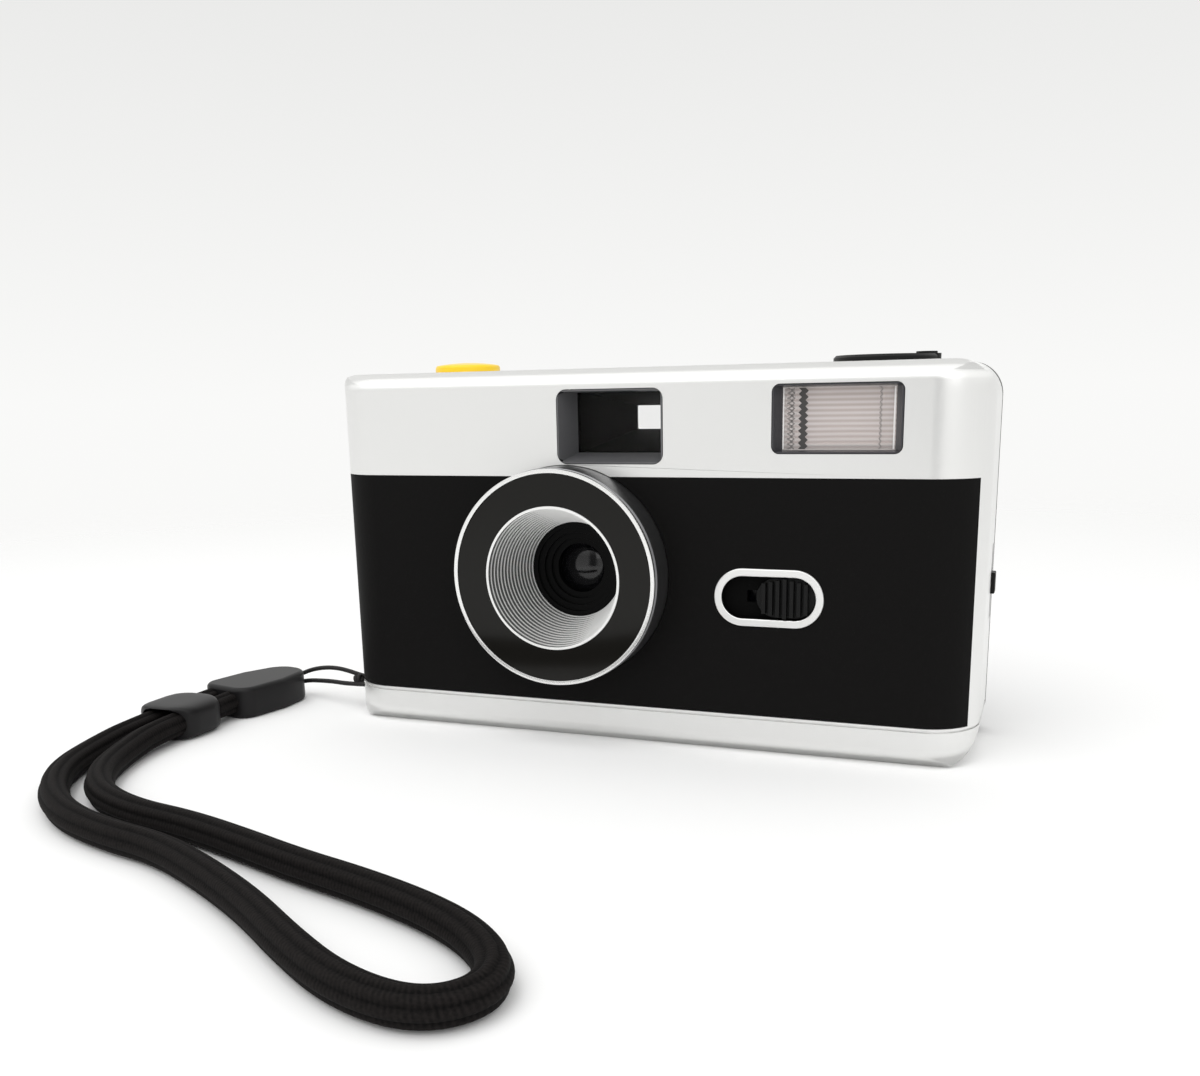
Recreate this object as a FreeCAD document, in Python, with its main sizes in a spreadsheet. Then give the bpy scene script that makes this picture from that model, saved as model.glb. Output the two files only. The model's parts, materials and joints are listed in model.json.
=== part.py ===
"""Reusable 35 mm film camera with a wrist strap, as separate pieces.

Millimetres. The origin is on the base, at mid width and mid depth of the body.
+X is to the right seen from the front, the lens looks along -Y, and +Z is up.
"""
import FreeCAD
import Part
import Sketcher
import math
import os
from types import SimpleNamespace
from FreeCAD import Placement, Rotation, Vector

os.makedirs("parts", exist_ok=True)
doc = FreeCAD.newDocument("film_camera")

# Driving dimensions: name, value, meaning
DIMENSIONS = [
    ("body_w", 117.0, "body width"),
    ("body_d", 30.0, "body depth, front face to back face"),
    ("body_h", 64.8, "body height"),
    ("front_r", 9.0, "upright front corners, seen from above"),
    ("rear_r", 4.0, "upright back corners, seen from above"),
    ("face_r", 6.0, "corners of the front face, seen from the front"),
    ("edge_c", 2.1, "chamfer along the front top and bottom edges"),
    ("wall", 1.8, "wall of the casings"),
    ("front_wall", 2.2, "front wall of the front cover"),
    ("cover_d", 24.0, "depth of the front cover"),
    ("fit_gap", 0.1, "clearance of parts that are put together"),
    ("run_gap", 0.05, "radial clearance of a turning shaft"),
    ("slide_gap", 0.2, "clearance beside a sliding part"),
    ("soft_gap", 0.3, "clearance round soft parts"),
    ("panel_t", 1.0, "thickness of the black front panel"),
    ("panel_low", 6.75, "height of the panel's lower edge"),
    ("panel_down", 18.0, "upper edge of the panel below the body's top"),
    ("panel_in", 1.55, "ends of the panel inside the body's sides"),
    ("lip_w", 0.35, "bright lip under the panel"),
    ("groove_w", 0.35, "groove under the lip"),
    ("groove_d", 0.4, "depth of that groove"),
    ("lens_x", -11.4, "lens axis, sideways"),
    ("lens_z", 30.0, "lens axis, height"),
    ("barrel_r", 18.67, "outside of the lens barrel"),
    ("barrel_out", 6.1, "reach of the barrel in front of the body"),
    ("barrel_wall", 1.3, "wall of the barrel"),
    ("barrel_edge", 0.4, "bevel of the barrel's front edge"),
    ("spigot_in", 2.27, "spigot in the cover, inside the barrel's outside"),
    ("spigot_t", 1.2, "wall of the spigot"),
    ("spigot_l", 2.2, "length of the spigot"),
    ("face_t", 0.8, "thickness of the black face plate"),
    ("trim_in", 0.1, "bright ring inside the barrel's outside"),
    ("trim_w", 0.72, "width of the bright ring"),
    ("trim_t", 0.9, "depth of the bright ring"),
    ("trim_groove", 0.25, "groove between bright ring and barrel"),
    ("cone_r", 12.33, "mouth of the ribbed cone"),
    ("cone_lip", 0.43, "rim of the cone"),
    ("cone_end_r", 8.5, "inner end of the cone"),
    ("cone_d", 11.4, "depth of the cone"),
    ("cone_wall", 1.1, "wall of the cone at its inner end"),
    ("cone_flange", 0.85, "flange that holds the cone behind the barrel's front"),
    ("holder_r", 8.4, "flange of the black lens holder"),
    ("holder_l", 4.4, "length of the lens holder"),
    ("holder_tube_r", 6.6, "tube of the lens holder"),
    ("holder_mouth_r", 7.6, "mouth of the lens holder"),
    ("glass_r", 4.6, "front lens"),
    ("glass_t", 1.7, "thickness of the front lens"),
    ("glass_ball", 9.0, "curve of the front lens"),
    ("stop_r", 1.75, "aperture"),
    ("stop_t", 0.25, "thickness of the aperture disc"),
    ("stop_disc_r", 5.6, "outside of the aperture disc"),
    ("rear_glass_r", 3.9, "rear lens"),
    ("rear_glass_t", 0.55, "thickness of the rear lens"),
    ("shutter_t", 0.9, "thickness of the shutter cover plate"),
    ("shutter_gap", 2.8, "space between the shutter plates"),
    ("housing_t", 1.2, "thickness of the shutter housing plate"),
    ("housing_hole_r", 5.5, "opening of the shutter housing"),
    ("module_w", 38.6, "width of the shutter plates"),
    ("module_low", 14.0, "shutter plates below the lens axis"),
    ("module_up", 18.5, "shutter plates above the lens axis"),
    ("lens_screw_x", 17.0, "lens screws beside the lens axis"),
    ("lens_screw_low", 11.5, "lower lens screws below the lens axis"),
    ("lens_screw_up", 14.5, "upper lens screws above the lens axis"),
    ("standoff_x", 17.2, "posts between the shutter plates, beside the lens axis"),
    ("standoff_side_up", 2.0, "side posts above the lens axis"),
    ("standoff_low", 12.2, "lower post below the lens axis"),
    ("standoff_up", 12.4, "upper post above the lens axis"),
    ("post_r", 1.0, "posts of the shutter levers"),
    ("blade_t", 0.5, "thickness of the shutter blade"),
    ("blade_r", 3.3, "round end of the shutter blade"),
    ("blade_dx", -8.6, "blade pivot from the lens axis, sideways"),
    ("blade_dz", 7.0, "blade pivot from the lens axis, height"),
    ("hammer_t", 1.4, "thickness of the hammer lever"),
    ("hammer_dx", -15.1, "hammer pivot from the lens axis, sideways"),
    ("hammer_dz", 11.0, "hammer pivot from the lens axis, height"),
    ("film_y", 10.5, "film plane"),
    ("gate_w", 36.0, "film gate width"),
    ("gate_h", 24.0, "film gate height"),
    ("film_w", 35.0, "film width"),
    ("tunnel_mouth", 12.0, "light tunnel at the shutter"),
    ("tunnel_wall", 1.2, "wall of the light tunnel"),
    ("rail_t", 1.3, "thickness of the film rail plate"),
    ("rail_low", 8.0, "lower edge of the film rail plate"),
    ("rail_down", 12.8, "upper edge of the film rail plate below the top"),
    ("guide_t", 0.7, "height of the film guide rails"),
    ("chassis_t", 1.0, "walls of the chassis"),
    ("chamber_in", 18.0, "axis of the cassette chamber from the right side"),
    ("chamber_r", 12.9, "cassette chamber radius"),
    ("chamber_low", 8.2, "floor of the cassette chamber"),
    ("chamber_down", 13.0, "top of the cassette chamber below the body's top"),
    ("chamber_front", -7.4, "front end of the chamber walls"),
    ("spool_in", 16.0, "axis of the take-up spool from the left side"),
    ("spool_y", 2.5, "axis of the take-up spool, depth"),
    ("spool_room_r", 11.2, "take-up chamber radius"),
    ("spool_room_low", 9.5, "floor of the take-up chamber"),
    ("room_down", 14.0, "top of the take-up chamber below the body's top"),
    ("spool_r", 6.0, "core of the take-up spool"),
    ("spool_wall", 1.2, "wall of the spool's core"),
    ("flange_r", 10.4, "flanges of the take-up spool"),
    ("flange_t", 0.8, "thickness of the spool's flanges"),
    ("wheel_r", 13.2, "thumbwheel"),
    ("wheel_t", 4.0, "thickness of the thumbwheel"),
    ("wheel_gap", 0.5, "space under and over the thumbwheel"),
    ("deck_t", 0.8, "thickness of the chassis deck"),
    ("sprocket_x", -23.0, "sprocket axis, sideways"),
    ("sprocket_y", 4.45, "sprocket axis, depth"),
    ("sprocket_r", 6.05, "root of the sprocket teeth"),
    ("tooth_out", 0.8, "height of the sprocket teeth"),
    ("sprocket_down", 20.2, "underside of the sprocket below the top"),
    ("sprocket_t", 1.6, "thickness of the sprocket"),
    ("sprocket_shaft_r", 1.5, "sprocket shaft"),
    ("counter_x", -21.2, "counter disc axis, sideways"),
    ("counter_y", -5.6, "counter disc axis, depth"),
    ("counter_r", 6.4, "counter disc under its teeth"),
    ("counter_t", 1.2, "thickness of the counter disc"),
    ("counter_down", 4.2, "underside of the counter disc below the top"),
    ("counter_tooth", 0.5, "teeth of the counter disc"),
    ("window_r", 2.5, "counter window"),
    ("window_off", 4.3, "counter window from the disc's axis"),
    ("finder_x", -3.05, "viewfinder centre, sideways"),
    ("finder_down", 9.65, "viewfinder centre below the top"),
    ("finder_w", 19.1, "viewfinder recess width"),
    ("finder_h", 12.5, "viewfinder recess height"),
    ("finder_r", 1.8, "corners of the viewfinder recess"),
    ("finder_d", 6.0, "depth of the viewfinder recess"),
    ("finder_in_w", 16.0, "inner viewfinder window width"),
    ("finder_in_h", 10.3, "inner viewfinder window height"),
    ("finder_in_up", 0.55, "inner viewfinder window above the recess's centre"),
    ("finder_edge", 0.35, "front edge of the viewfinder bezel"),
    ("finder_glass_t", 1.4, "thickness of the viewfinder window"),
    ("finder_ball", 60.0, "hollow curve of the viewfinder window"),
    ("finder_wall", 0.8, "wall of the viewfinder tunnel"),
    ("eye_up", 0.95, "eyepiece centre above the viewfinder's"),
    ("eye_w", 8.2, "eyepiece width"),
    ("eye_h", 4.6, "eyepiece height"),
    ("eye_rim", 0.6, "eyepiece glass round its opening"),
    ("flash_x", 35.1, "flash centre, sideways"),
    ("flash_down", 8.7, "flash centre below the top"),
    ("flash_w", 20.7, "flash recess width"),
    ("flash_h", 11.0, "flash recess height"),
    ("flash_r", 1.3, "corners of the flash recess"),
    ("flash_in_w", 17.9, "flash window width"),
    ("flash_in_h", 9.9, "flash window height"),
    ("flash_sink", 1.9, "flash window behind the front"),
    ("flash_glass_t", 1.2, "thickness of the flash window"),
    ("reflector_d", 4.2, "depth of the flash reflector"),
    ("reflector_drop", 4.2, "underside of the reflector below the flash centre"),
    ("reflector_t", 0.5, "walls of the flash reflector"),
    ("tube_r", 1.1, "flash tube"),
    ("can_r", 5.2, "flash capacitor"),
    ("can_x", 20.0, "flash capacitor, sideways"),
    ("can_y", -3.6, "flash capacitor, depth"),
    ("can_l", 28.0, "length of the flash capacitor"),
    ("cradle_h", 2.1, "height of the capacitor's seat"),
    ("board_t", 1.3, "thickness of the flash board"),
    ("board_left", 9.6, "left edge of the flash board"),
    ("board_right", 25.2, "right edge of the flash board"),
    ("board_low", 33.0, "lower edge of the flash board"),
    ("board_down", 4.8, "upper edge of the flash board below the top"),
    ("lamp_x", 12.0, "ready lamp, sideways"),
    ("lamp_down", 7.8, "ready lamp below the top"),
    ("lamp_r", 1.5, "ready lamp"),
    ("switch_x", 24.65, "flash switch centre, sideways"),
    ("switch_z", 27.1, "flash switch centre, height"),
    ("switch_w", 18.4, "switch bezel width"),
    ("switch_h", 9.7, "switch bezel height"),
    ("switch_rim", 1.3, "rim of the switch bezel"),
    ("switch_neck", 0.4, "switch bezel over its hole in the panel"),
    ("switch_lip", 0.35, "reach of the switch bezel in front"),
    ("switch_floor", 1.4, "floor of the switch slot behind the front"),
    ("switch_knob_w", 9.8, "ribbed knob width"),
    ("switch_knob_h", 6.6, "ribbed knob height"),
    ("switch_knob_out", 0.25, "ribs of the knob in front of the bezel"),
    ("switch_travel", 5.3, "travel of the flash switch"),
    ("button_x", -36.3, "shutter button, sideways"),
    ("button_y", -1.0, "shutter button, depth"),
    ("button_r", 6.0, "shutter button radius"),
    ("button_up", 1.8, "shutter button above the top"),
    ("button_ball", 36.0, "curve of the shutter button's top"),
    ("lever_x", -25.5, "release lever pivot, sideways"),
    ("lever_down", 5.9, "release lever pivot below the top"),
    ("lever_t", 1.2, "thickness of the release lever"),
    ("lever_w", 1.5, "width of the release lever"),
    ("lever_pin_r", 0.6, "pivot of the release lever"),
    ("rewind_r", 8.65, "rewind knob radius"),
    ("rewind_up", 1.1, "rewind knob above the top"),
    ("rewind_t", 3.0, "rewind knob thickness"),
    ("shaft_r", 2.0, "rewind shaft radius"),
    ("fork_l", 4.8, "reach of the rewind fork into the chamber"),
    ("collar_r", 4.5, "rewind collar radius"),
    ("collar_t", 1.8, "rewind collar thickness"),
    ("crank_w", 4.6, "width of the crank arm"),
    ("crank_t", 1.2, "thickness of the crank arm"),
    ("crank_l", 7.95, "crank arm, pivot to handle"),
    ("crank_off", 1.6, "crank pivot from the knob's axis"),
    ("crank_pin_r", 0.35, "crank pin"),
    ("handle_r", 1.7, "handle of the crank"),
    ("handle_t", 0.35, "height of the crank's handle"),
    ("door_in", 4.5, "right edge of the back door from the side"),
    ("door_low", 6.4, "lower edge of the back door"),
    ("door_down", 14.0, "upper edge of the back door below the top"),
    ("door_t", 1.7, "thickness of the back door"),
    ("hinge_in", 3.3, "door hinge axis from the left side"),
    ("hinge_deep", 1.1, "door hinge axis inside the back"),
    ("hinge_room", 1.65, "room round the door hinge axis"),
    ("knuckle_r", 1.0, "door hinge knuckles"),
    ("knuckle_l", 8.0, "length of a door hinge knuckle"),
    ("pin_r", 0.5, "door hinge pin"),
    ("pane_w", 9.0, "film window width"),
    ("pane_h", 16.0, "film window height"),
    ("pane_z", 30.0, "film window, height of its centre"),
    ("pane_t", 1.0, "thickness of the film window"),
    ("pane_rim", 0.8, "film window round its opening"),
    ("rib_out", 1.2, "ribs inside the back door"),
    ("tongue_t", 1.6, "latch tongues of the door"),
    ("tongue_h", 3.0, "height of a latch tongue"),
    ("latch_z", 28.0, "middle of the latch slot"),
    ("latch_slot_h", 13.0, "height of the latch slot"),
    ("latch_slot_w", 3.0, "width of the latch slot"),
    ("latch_y", 6.5, "middle of the latch slot, depth"),
    ("latch_t", 1.5, "thickness of the latch plate"),
    ("latch_knob_h", 3.6, "height of the latch knob"),
    ("latch_out", 0.7, "latch knob outside the body"),
    ("latch_travel", 4.2, "travel of the latch"),
    ("press_w", 39.0, "pressure plate width"),
    ("press_h", 34.6, "pressure plate height"),
    ("press_t", 0.85, "pressure plate thickness"),
    ("press_gap", 0.25, "pressure plate behind the film plane"),
    ("leaf_t", 0.25, "thickness of the pressure spring"),
    ("battery_r", 5.25, "room for the battery, radius"),
    ("battery_l", 48.0, "length of the battery bay"),
    ("battery_x", -31.5, "left end of the battery bay"),
    ("battery_y", -7.05, "battery axis, depth"),
    ("battery_z", 7.65, "battery axis, height"),
    ("flap_t", 1.4, "thickness of the battery door"),
    ("flap_hinge_y", -0.8, "battery door hinge, depth"),
    ("flap_hinge_z", 0.95, "battery door hinge, height"),
    ("flap_room", 0.55, "room behind the battery door, so that its end swings clear"),
    ("flap_knuckle_r", 0.7, "battery door knuckle"),
    ("flap_knuckle_l", 25.0, "length of the battery door knuckle"),
    ("flap_pin_r", 0.4, "battery door pin"),
    ("free_r", 2.5, "rewind release button"),
    ("free_travel", 1.5, "rewind release travel"),
    ("lug_y", -8.0, "strap bar, depth"),
    ("lug_z", 5.5, "strap bar, mid height"),
    ("lug_in", 1.9, "strap bar behind the side of the body"),
    ("lug_r", 0.6, "strap bar radius"),
    ("lug_room", 5.0, "strap recess, width and height"),
    ("lug_deep", 4.0, "depth of the strap recess"),
    ("screw_r", 1.9, "screw head radius"),
    ("screw_t", 0.8, "screw head thickness"),
    ("screw_core", 0.9, "screw shank radius"),
    ("screw_l", 3.2, "screw length under the head"),
    ("foot_in", 9.5, "front base screws from the sides"),
    ("foot_y", 4.5, "front base screws, depth"),
    ("heel_x", 35.0, "back base screws, sideways"),
    ("heel_in", 3.5, "back base screws from the back"),
    ("strap_d", 4.6, "strap cord diameter"),
    ("strand_a", -85.2, "outer strand in the slider, sideways"),
    ("strand_b", -80.15, "inner strand in the slider, sideways"),
    ("strand_z", 3.2, "height of the strands in the slider"),
    ("strand_y", -20.0, "ends of the strap in the cap, depth"),
    ("slider_y", -34.1, "slider centre, depth"),
    ("slider_l", 11.8, "slider length"),
    ("slider_w", 12.4, "slider width"),
    ("slider_h", 6.4, "slider height"),
    ("slider_edge", 1.8, "bevels of the slider"),
    ("cap_x", -80.3, "end cap centre, sideways"),
    ("cap_y", -13.3, "end cap centre, depth"),
    ("cap_l", 19.5, "end cap length"),
    ("cap_w", 12.6, "end cap width"),
    ("cap_tip_w", 8.0, "end cap width at the thread"),
    ("cap_h", 6.2, "end cap height"),
    ("cap_turn", -11.5, "turn of the end cap about Z, degrees"),
    ("thread_d", 0.9, "strap thread diameter"),
]

sheet = doc.addObject("Spreadsheet::Sheet", "sizes")
for row, (alias, value, meaning) in enumerate(DIMENSIONS, start=1):
    sheet.set("A%d" % row, meaning)
    sheet.set("B%d" % row, str(value))
    sheet.setAlias("B%d" % row, alias)
doc.recompute()


class Size:
    """A length: its expression for the sheet, and its present value."""

    def __init__(self, text, value):
        self.text = text
        self.value = value

    def __add__(self, other):
        other = as_size(other)
        return Size("(%s + %s)" % (self.text, other.text), self.value + other.value)

    def __sub__(self, other):
        other = as_size(other)
        return Size("(%s - %s)" % (self.text, other.text), self.value - other.value)

    def __mul__(self, other):
        other = as_size(other)
        return Size("(%s * %s)" % (self.text, other.text), self.value * other.value)

    def __truediv__(self, other):
        other = as_size(other)
        return Size("(%s / %s)" % (self.text, other.text), self.value / other.value)

    def __radd__(self, other):
        return as_size(other) + self

    def __rsub__(self, other):
        return as_size(other) - self

    def __rmul__(self, other):
        return as_size(other) * self

    def __neg__(self):
        return 0 - self

    def root(self):
        return Size("sqrt(%s)" % self.text, math.sqrt(self.value))


def as_size(number):
    """A plain number as a Size; a Size stays as it is."""
    if isinstance(number, Size):
        return number
    return Size("(%r)" % float(number), float(number))


s = SimpleNamespace(**{alias: Size("sizes." + alias, sheet.get(alias))
                       for alias, value, meaning in DIMENSIONS})

# Places that follow the body's width, depth and height, and the barrel
s.panel_half = s.body_w / 2 - s.panel_in
s.panel_high = s.body_h - s.panel_down
s.spigot_r = s.barrel_r - s.spigot_in
s.trim_r = s.barrel_r - s.trim_in
s.rail_high = s.body_h - s.rail_down
s.chamber_x = s.body_w / 2 - s.chamber_in
s.cassette_h = s.body_h - s.chamber_down - s.chamber_low
s.spool_x = s.spool_in - s.body_w / 2
s.spool_room_h = s.body_h - s.room_down - s.spool_room_low
s.sprocket_z = s.body_h - s.sprocket_down
s.counter_z = s.body_h - s.counter_down
s.finder_z = s.body_h - s.finder_down
s.finder_in_z = s.finder_z + s.finder_in_up
s.eye_z = s.finder_z + s.eye_up
s.flash_z = s.body_h - s.flash_down
s.reflector_low = s.flash_z - s.reflector_drop
s.lamp_z = s.body_h - s.lamp_down
s.lever_z = s.body_h - s.lever_down
s.door_right = s.body_w / 2 - s.door_in
s.door_high = s.body_h - s.door_down
s.hinge_x = s.hinge_in - s.body_w / 2
s.hinge_y = s.body_d / 2 - s.hinge_deep

AXES = {"X": Vector(1, 0, 0), "Y": Vector(0, 1, 0), "Z": Vector(0, 0, 1)}
TURNS = {"X": Rotation(AXES["Y"], 90), "Y": Rotation(AXES["X"], -90), "Z": Rotation()}
ROLES = {"XY": "XY_Plane", "XZ": "XZ_Plane", "YZ": "YZ_Plane"}
OVER = 2.0
nodes = []


def bind(thing, name, size):
    """Ties a property to the sheet."""
    thing.setExpression(name, as_size(size).text)


def place(thing, x=0, y=0, z=0):
    """Ties a position to the sheet."""
    for letter, size in (("x", x), ("y", y), ("z", z)):
        bind(thing, "Placement.Base." + letter, size)
    return thing


def point_on(axis, centre, along):
    """The x, y and z of a point, from an axis, its centre and a place along it."""
    first, second = centre
    return {"X": (along, first, second),
            "Y": (first, along, second),
            "Z": (first, second, along)}[axis]


def around(centre, width):
    """The limits of a width about its centre."""
    half = as_size(width) / 2
    return (centre - half, centre + half)


def wider(limits, gap):
    """Limits moved apart by a gap on both sides."""
    return (limits[0] - gap, limits[1] + gap)


def block(x, y, z):
    """A box between pairs of limits."""
    box = doc.addObject("Part::Box", "block")
    for name, limits in (("Length", x), ("Width", y), ("Height", z)):
        bind(box, name, as_size(limits[1]) - limits[0])
    return place(box, x[0], y[0], z[0])


def rod(axis, centre, radius, span):
    """A cylinder along an axis."""
    cylinder = doc.addObject("Part::Cylinder", "rod")
    cylinder.Placement = Placement(Vector(), TURNS[axis])
    bind(cylinder, "Radius", radius)
    bind(cylinder, "Height", as_size(span[1]) - span[0])
    return place(cylinder, *point_on(axis, centre, span[0]))


def ball(x, y, z, radius):
    sphere = doc.addObject("Part::Sphere", "ball")
    bind(sphere, "Radius", radius)
    return place(sphere, x, y, z)


def funnel(front_x, front_z, back_x, back_z, y):
    """A four-sided funnel along Y, from one upright rectangle to another."""
    wedge = doc.addObject("Part::Wedge", "funnel")
    for pair, limits in ((("Xmin", "Xmax"), front_x), (("Zmin", "Zmax"), front_z),
                         (("X2min", "X2max"), back_x), (("Z2min", "Z2max"), back_z),
                         (("Ymin", "Ymax"), y)):
        for name, size in zip(pair, limits):
            bind(wedge, name, size)
    return wedge


def fuse(*shapes):
    union = doc.addObject("Part::MultiFuse", "fuse")
    union.Shapes = list(shapes)
    return union


def common(*shapes):
    overlap = doc.addObject("Part::MultiCommon", "common")
    overlap.Shapes = list(shapes)
    return overlap


def cut(base, *tools):
    result = doc.addObject("Part::Cut", "cut")
    result.Base = base
    result.Tool = tools[0] if len(tools) == 1 else fuse(*tools)
    return result


def group(*shapes):
    """Separate solids that share one node."""
    compound = doc.addObject("Part::Compound", "group")
    compound.Links = list(shapes)
    return compound


def outline_sketch(body, plane, points, offset=0):
    """A closed outline of straight lines, each corner tied to the sheet."""
    support = next(f for f in body.Origin.OriginFeatures if f.Role == ROLES[plane])
    sketch = body.newObject("Sketcher::SketchObject", "outline")
    sketch.AttachmentSupport = [(support, "")]
    sketch.MapMode = "FlatFace"
    bind(sketch, "AttachmentOffset.Base.z", offset)
    corners = [(as_size(a), as_size(b)) for a, b in points]
    count = len(corners)
    for index in range(count):
        start, end = corners[index], corners[(index + 1) % count]
        sketch.addGeometry(Part.LineSegment(Vector(start[0].value, start[1].value, 0),
                                            Vector(end[0].value, end[1].value, 0)), False)
    for index in range(count):
        sketch.addConstraint(Sketcher.Constraint("Coincident", index, 2, (index + 1) % count, 1))
    for index, corner in enumerate(corners):
        for kind, size in (("DistanceX", corner[0]), ("DistanceY", corner[1])):
            number = sketch.addConstraint(Sketcher.Constraint(kind, index, 1, size.value))
            bind(sketch, "Constraints[%d]" % number, size)
    return sketch


def plate(plane, points, span):
    """An outline pulled along the third axis, between two limits."""
    body = doc.addObject("PartDesign::Body", "plate")
    low, high = as_size(span[0]), as_size(span[1])
    sketch = outline_sketch(body, plane, points, -high if plane == "XZ" else low)
    pad = body.newObject("PartDesign::Pad", "pad")
    pad.Profile = sketch
    bind(pad, "Length", high - low)
    return body


def edges_along(shape, axis, keep):
    """Names of the straight edges along an axis; keep picks them by mid point."""
    names = []
    for number, edge in enumerate(shape.Edges, start=1):
        if len(edge.Vertexes) < 2:
            continue
        run = edge.Vertexes[-1].Point - edge.Vertexes[0].Point
        middle = (edge.Vertexes[-1].Point + edge.Vertexes[0].Point) / 2
        if abs(run.normalize().dot(AXES[axis])) > 0.999 and keep(middle):
            names.append("Edge%d" % number)
    return names


def soften(body, axis, radius, keep=lambda point: True, kind="Fillet"):
    """Rounds or chamfers a body's edges along one axis."""
    doc.recompute()
    base = body.Tip
    feature = body.newObject("PartDesign::" + kind, kind.lower())
    feature.Base = (base, edges_along(base.Shape, axis, keep))
    bind(feature, "Radius" if kind == "Fillet" else "Size", radius)
    return body


def rounded(x, y, z, axis, radius, keep=lambda point: True, kind="Fillet"):
    """A box whose edges along one axis are rounded, or chamfered."""
    plane, across, up, span = {"X": ("YZ", y, z, x), "Y": ("XZ", x, z, y), "Z": ("XY", x, y, z)}[axis]
    corners = [(across[0], up[0]), (across[1], up[0]), (across[1], up[1]), (across[0], up[1])]
    return soften(plate(plane, corners, span), axis, radius, keep, kind)


def turned(axis, centre, profile):
    """A ring turned from corners of (radius, place along the axis)."""
    body = doc.addObject("PartDesign::Body", "turned")
    sketch = outline_sketch(body, "XY" if axis == "Y" else "XZ", profile)
    spin = body.newObject("PartDesign::Revolution", "spin")
    spin.Profile = sketch
    spin.ReferenceAxis = (sketch, ["V_Axis"])
    spin.Angle = 360
    return place(body, *point_on(axis, centre, 0))


def tube(axis, centre, outside, inside, span):
    """A plain ring."""
    corners = [(inside, span[0]), (outside, span[0]), (outside, span[1]), (inside, span[1])]
    return turned(axis, centre, corners)


def add_teeth(body, count, root, tip, width, span):
    """Teeth round a turned body: one tooth, patterned about the upright axis."""
    corners = [(root - 0.5, -width / 2), (tip, -width / 4), (tip, width / 4), (root - 0.5, width / 2)]
    sketch = outline_sketch(body, "XY", corners, span[0])
    tooth = body.newObject("PartDesign::Pad", "tooth")
    tooth.Profile = sketch
    bind(tooth, "Length", as_size(span[1]) - span[0])
    doc.recompute()
    ring = body.newObject("PartDesign::PolarPattern", "teeth")
    ring.Originals = [tooth]
    ring.Axis = (sketch, ["N_Axis"])
    ring.Angle = 360
    ring.Occurrences = count
    body.Tip = ring
    return body


def stadium(x, z, width, height, y):
    """An upright plate with round ends, pulled along Y."""
    half = height / 2
    reach = width / 2 - half
    return fuse(block((x - reach, x + reach), y, (z - half, z + half)),
                rod("Y", (x - reach, z), half, y),
                rod("Y", (x + reach, z), half, y))


def bar(plane, start, end, width, span):
    """A flat straight bar between two points of a plane."""
    run_a = as_size(end[0]) - start[0]
    run_b = as_size(end[1]) - start[1]
    length = (run_a * run_a + run_b * run_b).root()
    off_a = run_b / length * (width / 2)
    off_b = run_a / length * (width / 2)
    corners = [(start[0] + off_a, start[1] - off_b), (end[0] + off_a, end[1] - off_b),
               (end[0] - off_a, end[1] + off_b), (start[0] - off_a, start[1] + off_b)]
    return plate(plane, corners, span)


def node(name, thing):
    """Names a finished piece; the name is also that of its file."""
    thing.Label = name
    nodes.append(thing)
    return thing


# Places that several pieces share
side = s.body_w / 2
front = -(s.body_d / 2)
back = s.body_d / 2
split = front + s.cover_d
skin = front + s.panel_t
inner_front = front + s.front_wall
inner_back = back - s.wall
inner_side = side - s.wall
inner_top = s.body_h - s.wall
all_x = (-side - OVER, side + OVER)
all_z = (-as_size(OVER), s.body_h + OVER)
INSET_SHARE = 2 - math.sqrt(2)


def casing(inset=0, front_inset=None):
    """The body's outer form, drawn in all round; the front may go in further."""
    x = (-side + inset, side - inset)
    y = (front + (inset if front_inset is None else front_inset), back - inset)
    z = (as_size(inset), s.body_h - inset)
    plan = rounded(x, y, z, "Z", s.front_r - inset, lambda point: point.y < 0)
    soften(plan, "Z", s.rear_r - inset, lambda point: point.y > 0)
    face = rounded(x, y, z, "Y", s.face_r - inset)
    profile = rounded(x, y, z, "X", s.edge_c - inset * INSET_SHARE, lambda point: point.y < 0, "Chamfer")
    return common(plan, face, profile)


outer = casing()
cavity = casing(s.wall, s.front_wall)
panel_back = casing(s.panel_t)

# The lens, from its front to the film
lens = (s.lens_x, s.lens_z)
barrel_front = front - s.barrel_out
face_front = barrel_front - s.face_t
cone_end = face_front + s.cone_d
holder_end = cone_end + s.holder_l
plate_back = holder_end + s.shutter_t
housing_front = plate_back + s.shutter_gap
housing_back = housing_front + s.housing_t
module_x = around(s.lens_x, s.module_w)
module_z = (s.lens_z - s.module_low, s.lens_z + s.module_up)
lens_screw_places = [(x, z) for x in around(s.lens_x, s.lens_screw_x * 2)
                     for z in (s.lens_z - s.lens_screw_low, s.lens_z + s.lens_screw_up)]
standoff_places = [(x, s.lens_z + s.standoff_side_up) for x in around(s.lens_x, s.standoff_x * 2)]
standoff_places += [(s.lens_x, s.lens_z - s.standoff_low), (s.lens_x, s.lens_z + s.standoff_up)]

# The take-up spool, its thumbwheel and the deck over them
spool = (s.spool_x, s.spool_y)
room_top = s.spool_room_low + s.spool_room_h
wheel_low = room_top + s.chassis_t + s.wheel_gap
wheel_high = wheel_low + s.wheel_t
deck_low = wheel_high + s.wheel_gap
deck_high = deck_low + s.deck_t
sprocket_axis = (s.sprocket_x, s.sprocket_y)
counter_axis = (s.counter_x, s.counter_y)
counter_high = s.counter_z + s.counter_t
window_axis = (s.counter_x, s.counter_y + s.window_off)
button_axis = (s.button_x, s.button_y)
lever_axis = (s.lever_x, s.lever_z)
lever_y = around(s.button_y, s.lever_t)
pawl_axis = (s.lever_x - 1.0, s.spool_y + 3.0)

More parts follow.
